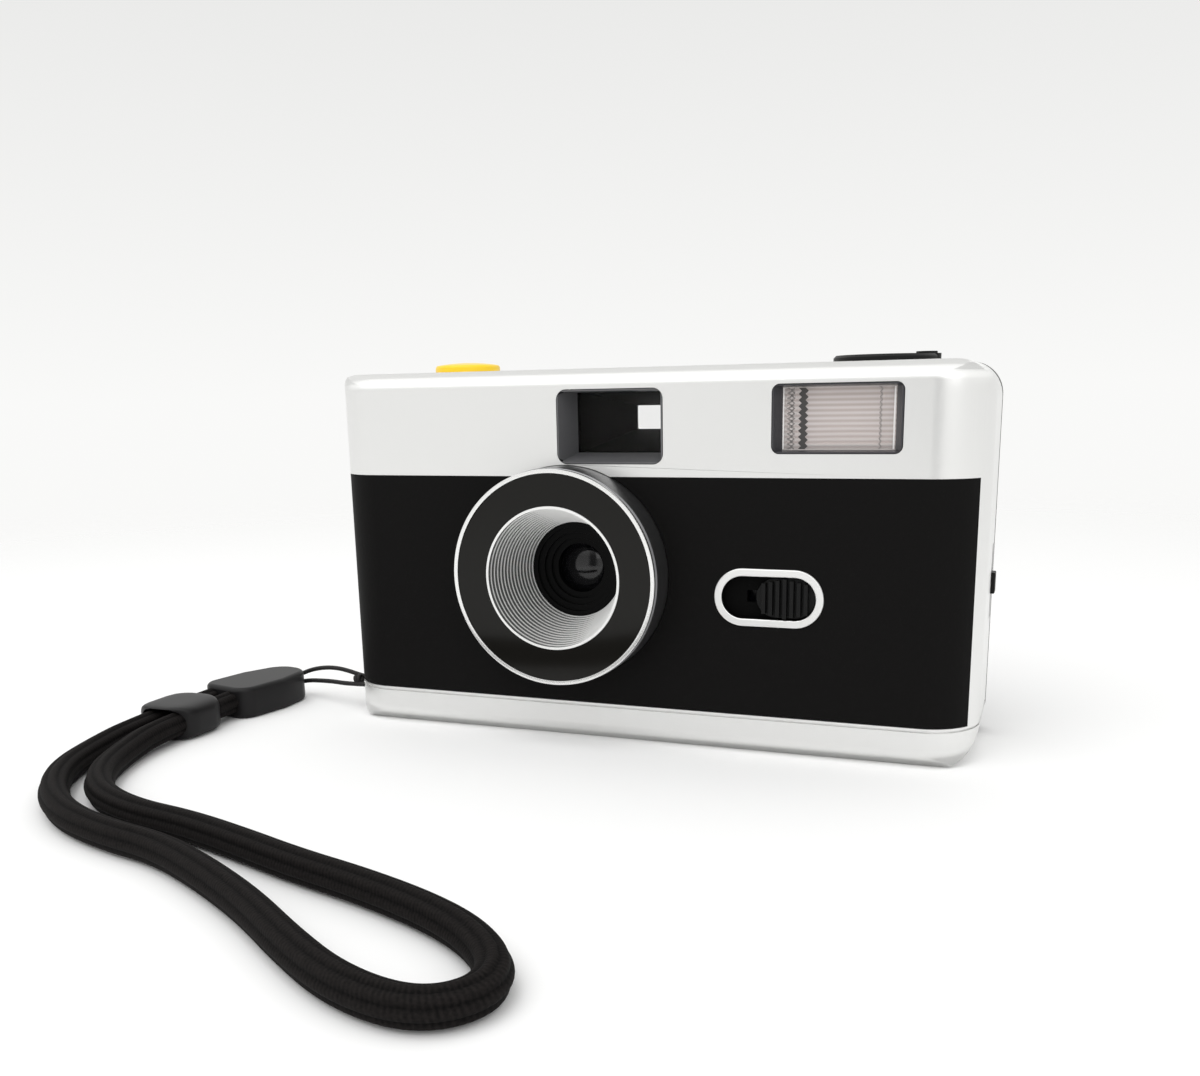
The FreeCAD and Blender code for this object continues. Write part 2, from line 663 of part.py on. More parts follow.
# The cassette chamber and the rewind parts over it
chamber_axis = (s.chamber_x, as_size(0))
chamber_top = s.chamber_low + s.cassette_h
rewind_high = s.body_h + s.rewind_up
rewind_low = rewind_high - s.rewind_t
crank_x = s.chamber_x - s.crank_off
crank_z = rewind_high - s.crank_t / 2 + 0.05
rail_front = s.film_y - s.rail_t
rail_x = (s.lens_x - s.gate_w / 2 - 1.6, s.chamber_x - s.chamber_r)

# The back door
hinge = (s.hinge_x, s.hinge_y)
door_left = s.hinge_x + 1.15
door_front = back - s.door_t
door_z = (s.door_low - s.slide_gap, s.door_high + s.slide_gap)
knuckle_spans = [(s.door_low + 2.6, s.door_low + 2.6 + s.knuckle_l),
                 (s.door_high - 2.8 - s.knuckle_l, s.door_high - 2.8)]
tongue_x = (s.door_right - 0.1 - s.tongue_t, s.door_right - 0.1)
tongue_places = [s.pane_z - 10.5, s.pane_z + 7.5]

# The battery bay, the flash switch, the strap bar and the screws
bay_x = (s.battery_x, s.battery_x + s.battery_l)
bay_y = around(s.battery_y, s.battery_r * 2)
bay_top = s.battery_z + s.battery_r
flap_hinge = (s.flap_hinge_y, s.flap_hinge_z)
flap_knuckle_x = around(s.battery_x + s.battery_l / 2, s.flap_knuckle_l)
switch_well_w = s.switch_w - s.switch_rim * 2
switch_well_h = s.switch_h - s.switch_rim * 2
switch_hole_w = s.switch_w - s.switch_neck * 2
switch_hole_h = s.switch_h - s.switch_neck * 2
switch_floor_y = front + s.switch_floor
switch_knob_x = s.switch_x + (switch_well_w - s.switch_knob_w) / 2 - s.slide_gap
lug_x = -side + s.lug_in
lug_span = around(s.lug_z, s.lug_room + 1.4)
foot_places = [(x, s.foot_y) for x in wider((-side, side), -s.foot_in)]
heel_places = [(x, back - s.heel_in) for x in (-s.heel_x, s.heel_x)]
board_high = s.body_h - s.board_down
board_posts = [(s.board_left + 2.4, s.board_low + 4.0), (s.board_right - 4.2, s.board_low + 4.0),
               (s.board_left + 2.4, board_high - 3.0)]


def screw_hole(centre):
    """Hole for a screw through the base, with room for its head."""
    return fuse(rod("Z", centre, s.screw_r + s.fit_gap, (-as_size(OVER), s.screw_t)),
                rod("Z", centre, s.screw_core + s.fit_gap, (-as_size(OVER), s.wall + OVER)))


def screw(axis, centre, head, shank):
    """A flat-headed screw."""
    return fuse(rod(axis, centre, s.screw_r, head), rod(axis, centre, s.screw_core, shank))


def front_cover():
    """Silver shell: front, top, base and sides, with its holes and bosses."""
    through = (front - OVER, inner_front + OVER)
    lid = (inner_top - OVER, s.body_h + OVER)
    base = (-as_size(OVER), s.wall + 0.05)
    shell = cut(common(outer, block(all_x, (front - OVER, split), all_z)), cavity)
    bosses = [rod("Y", centre, 2.2, (skin + 0.5, holder_end)) for centre in lens_screw_places]
    bosses += [rod("Y", centre, 1.4, (skin + 0.5, inner_front + 1.5)) for centre in board_posts]
    bosses += [block(around(x, 6.0), (y - 5.5, y + 1.6), (s.wall - 0.1, s.wall + 2.8))
               for x, y in heel_places]
    lug_pocket_wall = 0.8
    bosses.append(common(outer, block((-side, -side + s.lug_deep + lug_pocket_wall),
                                      around(s.lug_y, s.lug_room + lug_pocket_wall * 2),
                                      (as_size(1.0), s.lug_z + 3.6))))
    groove_z = (s.panel_low - s.lip_w - s.groove_w, s.panel_low - s.lip_w)
    holes = [
        cut(block((-s.panel_half, s.panel_half), (front - OVER, as_size(0)), (s.panel_low, s.panel_high)),
            panel_back),
        cut(block(all_x, (front - OVER, split + OVER), groove_z), casing(s.groove_d)),
        rod("Y", lens, s.spigot_r + s.fit_gap, through),
        rod("Y", lens, s.barrel_r + s.fit_gap, (front - OVER, skin)),
        rounded(around(s.finder_x, s.finder_w), through, around(s.finder_z, s.finder_h), "Y", s.finder_r),
        rounded(around(s.flash_x, s.flash_w), through, around(s.flash_z, s.flash_h), "Y", s.flash_r),
        stadium(s.switch_x, s.switch_z, switch_hole_w, switch_hole_h, through),
        rod("Z", button_axis, s.button_r + s.fit_gap, lid),
        rod("Z", chamber_axis, s.rewind_r + s.fit_gap, lid),
        rod("Z", window_axis, s.window_r + s.fit_gap, lid),
        rod("Z", spool, s.free_r + s.fit_gap, base),
        block(wider(bay_x, 0.1), wider(bay_y, -0.1), base),
        block(wider(flap_knuckle_x, s.slide_gap), (bay_y[1] - 0.2, s.flap_hinge_y + 1.0), base),
        rod("X", flap_hinge, s.flap_pin_r + s.run_gap, wider(flap_knuckle_x, 2.2)),
        block((inner_side - 0.5, side + OVER), around(s.latch_y, s.latch_slot_w),
              around(s.latch_z, s.latch_slot_h)),
        block((-side - OVER, -side + s.lug_deep), around(s.lug_y, s.lug_room), around(s.lug_z, s.lug_room)),
        rod("Z", (lug_x, s.lug_y), s.lug_r, lug_span)]
    holes += [rod("Y", centre, s.screw_core, (holder_end - s.screw_l - 0.2, holder_end + OVER))
              for centre in lens_screw_places]
    holes += [screw_hole(centre) for centre in foot_places]
    holes += [rod("Z", centre, s.screw_core, (s.wall - 0.5, s.wall + 2.5)) for centre in heel_places]
    node("front_cover", cut(fuse(shell, *bosses), *holes))


def front_panel():
    """Black skin across the front and round both corners."""
    area = block(wider((-s.panel_half, s.panel_half), -s.fit_gap), (front - OVER, as_size(0)),
                 (s.panel_low + s.fit_gap, s.panel_high - s.fit_gap))
    through = (front - OVER, skin + OVER)
    node("front_panel", cut(common(outer, area), panel_back, rod("Y", lens, s.barrel_r + s.fit_gap, through),
                            stadium(s.switch_x, s.switch_z, switch_hole_w, switch_hole_h, through)))


def rear_frame():
    """Black back shell round the door, with the fixed hinge knuckle."""
    through = (inner_back - OVER, back + OVER)
    ring = cut(common(outer, block(all_x, (split, back + OVER), all_z)), cavity)
    post = common(outer, block((-side - OVER, s.hinge_x + 0.6), (s.hinge_y - 2.5, back + OVER),
                               wider(door_z, 2.8)))
    eye_w = s.eye_w + (s.eye_rim + s.fit_gap) * 2
    eye_h = s.eye_h + (s.eye_rim + s.fit_gap) * 2
    body = cut(fuse(ring, post),
               block((s.hinge_x + 0.6, s.door_right + s.slide_gap), (s.hinge_y - 2.6, back + OVER), door_z),
               rod("Z", hinge, s.hinge_room, door_z),
               block(around(s.spool_x, 16.8), through, (wheel_low - 0.5, wheel_high + 0.5)),
               rounded(around(s.finder_x, eye_w), through, around(s.eye_z, eye_h), "Y", as_size(1.2)),
               rod("Y", (s.lamp_x, s.lamp_z), s.lamp_r + s.fit_gap, through),
               *[screw_hole(centre) for centre in heel_places])
    knuckle_z = (knuckle_spans[0][1] + s.slide_gap, knuckle_spans[1][0] - s.slide_gap)
    knuckle = fuse(rod("Z", hinge, s.knuckle_r, knuckle_z),
                   block((s.hinge_x - 1.9, s.hinge_x), (s.hinge_y - 1.6, s.hinge_y + 0.1), knuckle_z))
    node("rear_frame", cut(fuse(body, knuckle), rod("Z", hinge, s.pin_r, knuckle_z)))


def chassis():
    """Inner frame: light tunnel, film rails, both film chambers, deck and battery bay."""
    gate_x = around(s.lens_x, s.gate_w)
    gate_z = around(s.lens_z, s.gate_h)
    mouth_x = around(s.lens_x, s.tunnel_mouth)
    mouth_z = around(s.lens_z, s.tunnel_mouth)
    wall = s.tunnel_wall
    span = (housing_back, s.film_y)
    tunnel = funnel(wider(mouth_x, wall), wider(mouth_z, wall),
                    wider(gate_x, wall), wider(gate_z, wall), span)
    light_path = funnel(mouth_x, mouth_z, gate_x, gate_z, span)
    rails = block(rail_x, (rail_front, s.film_y), (s.rail_low, s.rail_high))
    film_edge = s.film_w / 2 + 0.2
    guide_y = (s.film_y - 0.2, s.film_y + s.guide_t)
    guides = [block(rail_x, guide_y, (s.lens_z - film_edge - 0.8, s.lens_z - film_edge)),
              block(rail_x, guide_y, (s.lens_z + film_edge, s.lens_z + film_edge + 0.8))]

    room_end = rail_front + 0.2
    cassette_z = (s.chamber_low, chamber_top)
    shell_z = wider(cassette_z, s.chassis_t)
    shell_r = s.chamber_r + s.chassis_t
    cassette = common(fuse(rod("Z", chamber_axis, shell_r, shell_z),
                           block(around(s.chamber_x, shell_r * 2), (as_size(0), room_end), shell_z)),
                      block(all_x, (s.chamber_front, room_end), all_z))
    cassette_room = fuse(rod("Z", chamber_axis, s.chamber_r, cassette_z),
                         block(around(s.chamber_x, s.chamber_r * 2), (as_size(0), room_end + OVER),
                               cassette_z),
                         rod("Z", chamber_axis, 5.0, (s.chamber_low - OVER, s.chamber_low + 0.1)),
                         rod("Z", chamber_axis, s.shaft_r + s.run_gap,
                             (chamber_top - 0.1, chamber_top + OVER)))

    take_up_z = (s.spool_room_low, room_top)
    spool_z = wider(take_up_z, s.chassis_t)
    spool_shell_r = s.spool_room_r + s.chassis_t
    take_up = common(fuse(rod("Z", spool, spool_shell_r, spool_z),
                          block(around(s.spool_x, spool_shell_r * 2), (s.spool_y, room_end), spool_z)),
                     block(all_x, (front, room_end), all_z))
    take_up_room = fuse(rod("Z", spool, s.spool_room_r, take_up_z),
                        block(around(s.spool_x, s.spool_room_r * 2), (s.spool_y, room_end + OVER), take_up_z),
                        rod("Z", spool, s.shaft_r + s.run_gap, (spool_z[0] - 0.1, take_up_z[0] + 0.1)),
                        rod("Z", spool, s.shaft_r + 0.5 + s.run_gap, (room_top - 0.1, spool_z[1] + 0.1)))

    deck_right = s.sprocket_x + 8.5
    deck = block((s.spool_x - 0.5, deck_right), (as_size(-9.0), s.film_y), (deck_low, deck_high))
    riser = block((s.sprocket_x - 5.6, deck_right), (rail_front, s.film_y), (s.rail_high - 1, deck_high))
    bearing = block(around(s.sprocket_x, 5.0), (s.sprocket_y - 2.4, room_end),
                    (s.sprocket_z - 2.7, s.sprocket_z - 0.7))
    lever_block = block(around(s.lever_x, 3.0), (lever_y[1] + 0.15, lever_y[1] + 1.6),
                        (deck_high - 0.2, s.lever_z + 0.8))
    posts = [rod("Z", counter_axis, 1.2, (deck_high - 0.2, s.counter_z - 0.1)),
             rod("Z", counter_axis, 0.75, (deck_high, counter_high + 0.3)),
             rod("Y", lever_axis, s.lever_pin_r, (lever_y[0] - 0.4, lever_y[1] + 1.0)),
             rod("Z", pawl_axis, 0.8, (wheel_low + 0.4, deck_low + 0.2))]
    slots = [block((s.lever_x - 6.8, s.lever_x + 3.5), (lever_y[0] - 0.3, lever_y[1] + 0.1),
                   wider((deck_low, deck_high), 0.1)),
             block(around(s.sprocket_x, (s.sprocket_r + s.tooth_out + 0.7) * 2),
                   wider((rail_front, s.film_y), 0.1),
                   (s.sprocket_z - 0.4, s.sprocket_z + s.sprocket_t + 0.4)),
             rod("Z", sprocket_axis, s.sprocket_shaft_r + s.run_gap, (s.sprocket_z - 2.8, deck_high + 0.1))]

    bay = cut(block(wider(bay_x, s.chassis_t), (inner_front + 0.1, bay_y[1] + s.chassis_t),
                    (s.wall + 0.1, bay_top + s.chassis_t)),
              block(bay_x, (inner_front - 0.1, bay_y[1]), (s.wall - 0.1, bay_top)))
    shelf = block(bay_x, (bay_y[1] + 0.5, room_end), (s.rail_low + 0.5, s.rail_low + 1.7))
    cradle = block((bay_x[1] - 4.5, s.can_x + s.can_r), wider(around(s.can_y, s.can_r * 2), -0.4),
                   (bay_top + s.chassis_t - 0.2, bay_top + s.chassis_t + s.cradle_h))
    feet = [block(around(x, 6.0), around(y, 7.0), (s.wall + 0.1, low - 0.5))
            for (x, y), low in zip(foot_places, (s.spool_room_low, s.chamber_low))]
    foot_bores = [rod("Z", centre, s.screw_core, (s.wall, s.screw_t + s.screw_l + 0.2))
                  for centre in foot_places]
    solid = fuse(tunnel, rails, *guides, cassette, take_up, deck, riser, bearing, lever_block, *posts,
                 bay, shelf, cradle, *feet)
    node("chassis", cut(solid, light_path, cassette_room, take_up_room, *slots, *foot_bores))


def lens_group():
    """Everything on the lens axis, from the bright ring to the rear lens."""
    spigot_end = skin + s.spigot_l
    step_back = skin - s.spigot_t
    seat = barrel_front + s.spigot_t
    node("lens_barrel", turned("Y", lens, [
        (s.cone_r + s.run_gap, barrel_front), (s.barrel_r - s.barrel_edge, barrel_front),
        (s.barrel_r, barrel_front + s.barrel_edge), (s.barrel_r, skin), (s.spigot_r, skin),
        (s.spigot_r, spigot_end), (s.spigot_r - s.spigot_t, spigot_end), (s.spigot_r - s.spigot_t, step_back),
        (s.barrel_r - s.barrel_wall, step_back), (s.barrel_r - s.barrel_wall, seat),
        (s.cone_r + s.run_gap, seat)]))
    ring_in = s.trim_r - s.trim_w
    ring_front = barrel_front - s.trim_t
    foot = ring_in + s.trim_groove
    node("lens_trim_ring", turned("Y", lens, [
        (ring_in, barrel_front), (foot, barrel_front), (foot, barrel_front - s.trim_groove),
        (s.trim_r, barrel_front - s.trim_groove), (s.trim_r, ring_front), (ring_in, ring_front)]))
    node("lens_face_plate", tube("Y", lens, ring_in - s.run_gap, s.cone_r + s.run_gap,
                                 (face_front, barrel_front)))

    steps = 14
    mouth = s.cone_r - s.cone_lip
    tread = s.cone_d / steps
    rise = (mouth - s.cone_end_r) / steps
    profile = [(s.cone_r, face_front), (mouth, face_front)]
    for index in range(1, steps + 1):
        profile.append((mouth - rise * (index - 1), face_front + tread * index))
        profile.append((mouth - rise * index, face_front + tread * index))
    profile += [(s.cone_end_r, cone_end + 0.8), (s.cone_end_r + s.cone_wall, cone_end + 0.8),
                (s.cone_end_r + s.cone_wall + 0.3, cone_end), (s.cone_r - 0.35, seat + 0.85),
                (s.cone_r + s.cone_flange, seat + 0.85), (s.cone_r + s.cone_flange, seat + 0.05),
                (s.cone_r, seat + 0.05)]
    node("lens_cone", turned("Y", lens, profile))

    bore = s.glass_r + s.run_gap
    stop_front = holder_end - s.stop_t
    glass_seat = stop_front - s.glass_t - 0.25
    tread = (glass_seat - cone_end) / 3
    rise = (s.holder_mouth_r - s.glass_r + 0.15) / 3
    profile = [(s.holder_r, cone_end), (s.holder_mouth_r, cone_end)]
    for index in (1, 2, 3):
        profile.append((s.holder_mouth_r - rise * (index - 1), cone_end + tread * index))
        profile.append((s.holder_mouth_r - rise * index, cone_end + tread * index))
    profile += [(s.glass_r - 0.15, glass_seat + 0.2), (bore, glass_seat + 0.2), (bore, stop_front),
                (s.stop_disc_r + s.fit_gap, stop_front), (s.stop_disc_r + s.fit_gap, holder_end),
                (s.holder_tube_r, holder_end), (s.holder_tube_r, cone_end + 0.75),
                (s.holder_r, cone_end + 0.75)]
    node("lens_holder", turned("Y", lens, profile))
    glass_y = (glass_seat + 0.25, glass_seat + 0.25 + s.glass_t - 0.05)
    node("front_lens", common(rod("Y", lens, s.glass_r, glass_y),
                              ball(s.lens_x, glass_y[0] + s.glass_ball, s.lens_z, s.glass_ball)))
    node("aperture_plate", tube("Y", lens, s.stop_disc_r, s.stop_r, (stop_front, holder_end)))
    node("rear_lens", rod("Y", lens, s.rear_glass_r, (holder_end + 0.05, holder_end + 0.05 + s.rear_glass_t)))


def shutter():
    """Shutter between two plates, the levers that trip it and the button."""
    blade_pivot = (s.lens_x + s.blade_dx, s.lens_z + s.blade_dz)
    hammer_pivot = (s.lens_x + s.hammer_dx, s.lens_z + s.hammer_dz)
    plate_y = wider((holder_end, plate_back), 0.1)
    node("shutter_cover", cut(
        block(module_x, (holder_end, plate_back), module_z),
        rod("Y", lens, s.rear_glass_r + s.run_gap, (holder_end - 0.1, holder_end + s.rear_glass_t + 0.1)),
        rod("Y", lens, 2.2, plate_y),
        *[rod("Y", centre, s.screw_core + s.run_gap, plate_y) for centre in lens_screw_places]))
    head_y = (plate_back, plate_back + s.screw_t)
    shank_y = (holder_end - s.screw_l, plate_back)
    node("lens_screws", group(*[screw("Y", centre, head_y, shank_y) for centre in lens_screw_places]))
    pins = (plate_back, housing_front + 0.1)
    housing = fuse(block(module_x, (housing_front, housing_back), module_z),
                   rod("Y", blade_pivot, s.post_r, pins), rod("Y", hammer_pivot, s.post_r, pins),
                   *[rod("Y", centre, 1.5, pins) for centre in standoff_places])
    housing_y = wider((housing_front, housing_back), 0.1)
    sprocket_notch = block((module_x[0] - OVER, s.sprocket_x + s.sprocket_r + s.tooth_out + 0.5), housing_y,
                           (s.sprocket_z - 0.5, module_z[1] + OVER))
    node("shutter_housing", cut(housing, rod("Y", lens, s.housing_hole_r, housing_y), sprocket_notch))

    blade_y = (plate_back + 0.3, plate_back + 0.3 + s.blade_t)
    blade = fuse(bar("XZ", blade_pivot, lens, as_size(4.0), blade_y), rod("Y", lens, s.blade_r, blade_y),
                 rod("Y", blade_pivot, 2.2, blade_y))
    node("shutter_blade", cut(blade, rod("Y", blade_pivot, s.post_r + s.run_gap, wider(blade_y, 1))))
    hammer_y = (housing_front - 0.35 - s.hammer_t, housing_front - 0.35)
    tip = (hammer_pivot[0] + 5.5, hammer_pivot[1] + 2.5)
    tail = (hammer_pivot[0] + 0.5, hammer_pivot[1] + 6.6)
    hammer = fuse(bar("XZ", hammer_pivot, tip, as_size(2.4), hammer_y),
                  bar("XZ", hammer_pivot, tail, as_size(2.2), hammer_y),
                  rod("Y", hammer_pivot, 2.2, hammer_y), rod("Y", tip, 1.2, hammer_y))
    node("hammer_lever", cut(hammer, rod("Y", hammer_pivot, s.post_r + s.run_gap, wider(hammer_y, 1))))

    half = s.lever_w / 2
    arm_end = (s.lever_x - 5.8, s.lever_z)
    foot_end = (s.lever_x, module_z[1] + 2.2)
    lever = fuse(bar("XZ", arm_end, lever_axis, s.lever_w, lever_y), rod("Y", arm_end, half, lever_y),
                 bar("XZ", lever_axis, foot_end, s.lever_w, lever_y), rod("Y", lever_axis, 1.3, lever_y))
    node("release_lever", cut(lever, rod("Y", lever_axis, s.lever_pin_r + s.run_gap, wider(lever_y, 1))))

    flange_z = (inner_top - 1.1, inner_top - s.fit_gap)
    crown = s.body_h + s.button_up
    cap = common(rod("Z", button_axis, s.button_r, (flange_z[1] - 0.4, crown)),
                 ball(s.button_x, s.button_y, crown - s.button_ball, s.button_ball))
    tab = block((s.lever_x - 5.9, s.lever_x - 4.9), lever_y,
                (s.lever_z + half + s.fit_gap, flange_z[0] + 0.2))
    node("shutter_button", fuse(cap, rod("Z", button_axis, s.button_r + 0.8, flange_z), tab,
                                rod("Z", button_axis, 1.8, (deck_high + 1.6, flange_z[0] + 0.2))))
    node("button_spring", tube("Z", button_axis, as_size(3.4), as_size(2.6), (deck_high, flange_z[0])))


def film_transport():
    """Take-up spool, thumbwheel, sprocket, counter and pawl."""
    zero = as_size(0)
    low = s.spool_room_low + 0.5
    high = room_top - 0.6
    stub = s.spool_room_low - s.chassis_t + 0.1
    neck = s.shaft_r + 0.5
    core_in = s.spool_r - s.spool_wall
    core = turned("Z", spool, [
        (zero, stub), (s.shaft_r, stub), (s.shaft_r, low), (s.flange_r, low),
        (s.flange_r, low + s.flange_t),
        (s.spool_r, low + s.flange_t), (s.spool_r, high - s.flange_t), (s.flange_r, high - s.flange_t),
        (s.flange_r, high), (neck, high), (neck, wheel_low), (zero, wheel_low), (zero, high - s.flange_t),
        (core_in, high - s.flange_t), (core_in, low + s.flange_t), (zero, low + s.flange_t)])
    node("take_up_spool", cut(core, block(around(s.spool_x, s.spool_r * 2 + 2), around(s.spool_y, 1.2),
                                          (low + 2.5, high - 2.5))))
    rim = s.wheel_r - 0.6
    web = s.wheel_r - 2.2
    hub = as_size(4.0)
    node("thumbwheel", turned("Z", spool, [
        (zero, wheel_low), (rim, wheel_low), (s.wheel_r, wheel_low + 0.6), (s.wheel_r, wheel_high - 0.6),
        (rim, wheel_high), (web, wheel_high), (web, wheel_high - 1.2), (hub, wheel_high - 1.2),
        (hub, wheel_high), (zero, wheel_high)]))

    top = counter_high - 0.1
    bottom = s.sprocket_z - 2.6
    tooth_z = (s.sprocket_z, s.sprocket_z + s.sprocket_t)
    wheel = turned("Z", sprocket_axis, [
        (zero, bottom), (s.sprocket_shaft_r, bottom), (s.sprocket_shaft_r, tooth_z[0]),
        (s.sprocket_r, tooth_z[0]),
        (s.sprocket_r, tooth_z[1]), (s.sprocket_shaft_r, tooth_z[1]), (s.sprocket_shaft_r, top), (zero, top)])
    add_teeth(wheel, 8, s.sprocket_r, s.sprocket_r + s.tooth_out, as_size(1.6), tooth_z)
    node("sprocket", fuse(wheel, block((s.sprocket_x, s.sprocket_x + 3.0), around(s.sprocket_y, 0.9),
                                       (s.counter_z + 0.1, top))))
    disc = tube("Z", counter_axis, s.counter_r, 0.75 + s.run_gap, (s.counter_z, counter_high))
    add_teeth(disc, 40, s.counter_r, s.counter_r + s.counter_tooth, as_size(0.7), (s.counter_z, counter_high))
    node("counter_disc", disc)
    node("counter_window", fuse(rod("Z", window_axis, s.window_r, (inner_top - 0.1, s.body_h + 0.1)),
                                rod("Z", window_axis, s.window_r + 0.9, (inner_top - 0.7, inner_top))))

    pawl_z = (wheel_low + 0.7, wheel_high - 0.8)
    tip = (s.spool_x + s.wheel_r + 0.7, s.spool_y - 0.5)
    pawl = fuse(rod("Z", pawl_axis, 1.6, pawl_z), bar("XY", pawl_axis, tip, as_size(0.8), pawl_z),
                rod("Z", tip, 0.4, pawl_z))
    node("wind_pawl", cut(pawl, rod("Z", pawl_axis, 0.8 + s.run_gap, wider(pawl_z, 1))))


def rewind():
    """Rewind fork, collar, knob and folding crank, and the release in the base."""
    fork_low = chamber_top - s.fork_l
    node("rewind_shaft", cut(rod("Z", chamber_axis, s.shaft_r, (fork_low, rewind_low)),
                             block(around(s.chamber_x, 1.2), wider((-s.shaft_r, s.shaft_r), 1),
                                   (fork_low - 1, fork_low + 2.6))))
    collar_low = chamber_top + s.chassis_t + 0.3
    node("rewind_collar", tube("Z", chamber_axis, s.collar_r, s.shaft_r + s.run_gap,
                               (collar_low, collar_low + s.collar_t)))
    pivot = (crank_x, crank_z)
    pin_y = around(as_size(0), 7.2)
    half = s.crank_t / 2
    arm_y = around(as_size(0), s.crank_w)
    arm_z = around(crank_z, s.crank_t)
    edge = s.rewind_r - 0.4
    knob = turned("Z", chamber_axis, [
        (as_size(0), rewind_low), (s.rewind_r, rewind_low), (s.rewind_r, rewind_high - 0.4),
        (edge, rewind_high), (as_size(0), rewind_high)])
    slot = block((crank_x - 2.6, s.chamber_x + s.rewind_r + 1), wider(arm_y, s.slide_gap),
                 (arm_z[0] - 0.1, rewind_high + 1))
    node("rewind_knob", cut(knob, slot, rod("Y", pivot, s.crank_pin_r + s.run_gap, pin_y)))
    handle = (crank_x + s.crank_l, as_size(0))
    node("rewind_crank", fuse(
        block((crank_x, handle[0]), arm_y, arm_z), rod("Y", pivot, half, arm_y),
        rod("Z", handle, s.crank_w / 2, arm_z),
        rod("Z", handle, s.handle_r, (arm_z[1] - 0.1, arm_z[1] + s.handle_t)),
        rod("Y", pivot, s.crank_pin_r, wider(pin_y, -0.1))))
    free_top = s.spool_room_low - s.chassis_t - s.free_travel - 0.2
    node("rewind_release", fuse(rod("Z", spool, s.free_r, (as_size(0.5), free_top)),
                                rod("Z", spool, s.free_r + 0.7, (s.wall + 0.1, s.wall + 0.9))))


def viewfinder():
    """Front bezel and window, light tunnel and eyepiece."""
    opening_x = around(s.finder_x, s.finder_w)
    opening_z = around(s.finder_z, s.finder_h)
    inner_x = around(s.finder_x, s.finder_in_w)
    inner_z = around(s.finder_in_z, s.finder_in_h)
    window_x = wider(inner_x, 0.5)
    window_z = wider(inner_z, 0.15)
    floor_y = front + s.finder_d
    bezel_back = floor_y + s.finder_glass_t + 0.1
    sleeve = rounded(wider(opening_x, -s.fit_gap), (front, bezel_back), wider(opening_z, -s.fit_gap), "Y",
                     s.finder_r - s.fit_gap)
    flange = block(wider(opening_x, 1.0), (inner_front, inner_front + 0.8), wider(opening_z, -1.5))
    mouth = funnel(wider(opening_x, -s.finder_edge), wider(opening_z, -s.finder_edge),
                   inner_x, inner_z, (front, floor_y))
    pocket = block(wider(window_x, 0.05), (floor_y, bezel_back + 1), wider(window_z, 0.05))
    node("viewfinder_bezel", cut(fuse(sleeve, flange), mouth, pocket))
    dish = ball(s.finder_x, floor_y + 0.7 - s.finder_ball, s.finder_in_z, s.finder_ball)
    node("viewfinder_lens", cut(block(window_x, (floor_y, floor_y + s.finder_glass_t), window_z), dish))
    far_x = around(s.finder_x, s.eye_w)
    far_z = around(s.eye_z, s.eye_h)
    span = (bezel_back + 0.1, inner_back - 0.9)
    wall = s.finder_wall
    node("viewfinder_tunnel", cut(funnel(wider(inner_x, wall), wider(inner_z, wall),
                                         wider(far_x, wall), wider(far_z, wall), span),
                                  funnel(inner_x, inner_z, far_x, far_z, span)))
    window = rounded(wider(far_x, s.eye_rim), (inner_back - 0.1, back - 0.4), wider(far_z, s.eye_rim),
                     "Y", as_size(1.1))
    brim = block(wider(far_x, 1.4), (inner_back - 0.85, inner_back), wider(far_z, 1.3))
    node("eyepiece_lens", fuse(window, brim))


def flash():
    """Flash head, board, capacitor and lamp."""
    opening_x = around(s.flash_x, s.flash_w)
    opening_z = around(s.flash_z, s.flash_h)
    window_x = around(s.flash_x, s.flash_in_w)
    window_z = around(s.flash_z, s.flash_in_h)
    window_y = (front + s.flash_sink, front + s.flash_sink + s.flash_glass_t)
    sleeve = rounded(wider(opening_x, -s.fit_gap), (front, window_y[1]), wider(opening_z, -s.fit_gap), "Y",
                     s.flash_r - s.fit_gap)
    mouth = funnel(wider(opening_x, -0.35), wider(opening_z, -0.3), window_x, window_z, (front, window_y[0]))
    pocket = block(wider(window_x, 0.4), (window_y[0], window_y[1] + 1), wider(window_z, 0.05))
    node("flash_bezel", cut(sleeve, mouth, pocket))
    node("flash_window", block(wider(window_x, 0.35), window_y, window_z))

    shell_y = (window_y[1], window_y[1] + s.reflector_d)
    shell_z = (s.reflector_low, window_z[1] - 0.1)
    t = s.reflector_t
    bowl = funnel(wider(window_x, -t), wider(shell_z, -t), wider(window_x, -(t * 5)), around(s.flash_z, 3.2),
                  (shell_y[0], shell_y[1] - t))
    tube_axis = (shell_y[1] - t - s.tube_r - 0.25, s.flash_z)
    node("flash_reflector", cut(block(window_x, shell_y, shell_z), bowl,
                                rod("X", tube_axis, s.tube_r + s.fit_gap, wider(window_x, 1))))
    node("flash_tube", rod("X", tube_axis, s.tube_r, wider(window_x, -0.1)))
    board_y = inner_front + 1.5
    node("flash_board", block((s.board_left, s.board_right), (board_y, board_y + s.board_t),
                              (s.board_low, board_high)))
    can_low = bay_top + s.chassis_t + s.cradle_h
    node("flash_capacitor", rod("Z", (s.can_x, s.can_y), s.can_r, (can_low, can_low + s.can_l)))
    lamp = (s.lamp_x, s.lamp_z)
    node("ready_lamp", fuse(rod("Y", lamp, s.lamp_r, (inner_back - 1.6, back - 0.1)),
                            rod("Y", lamp, s.lamp_r + 0.5, (inner_back - 1.6, inner_back - 0.1))))


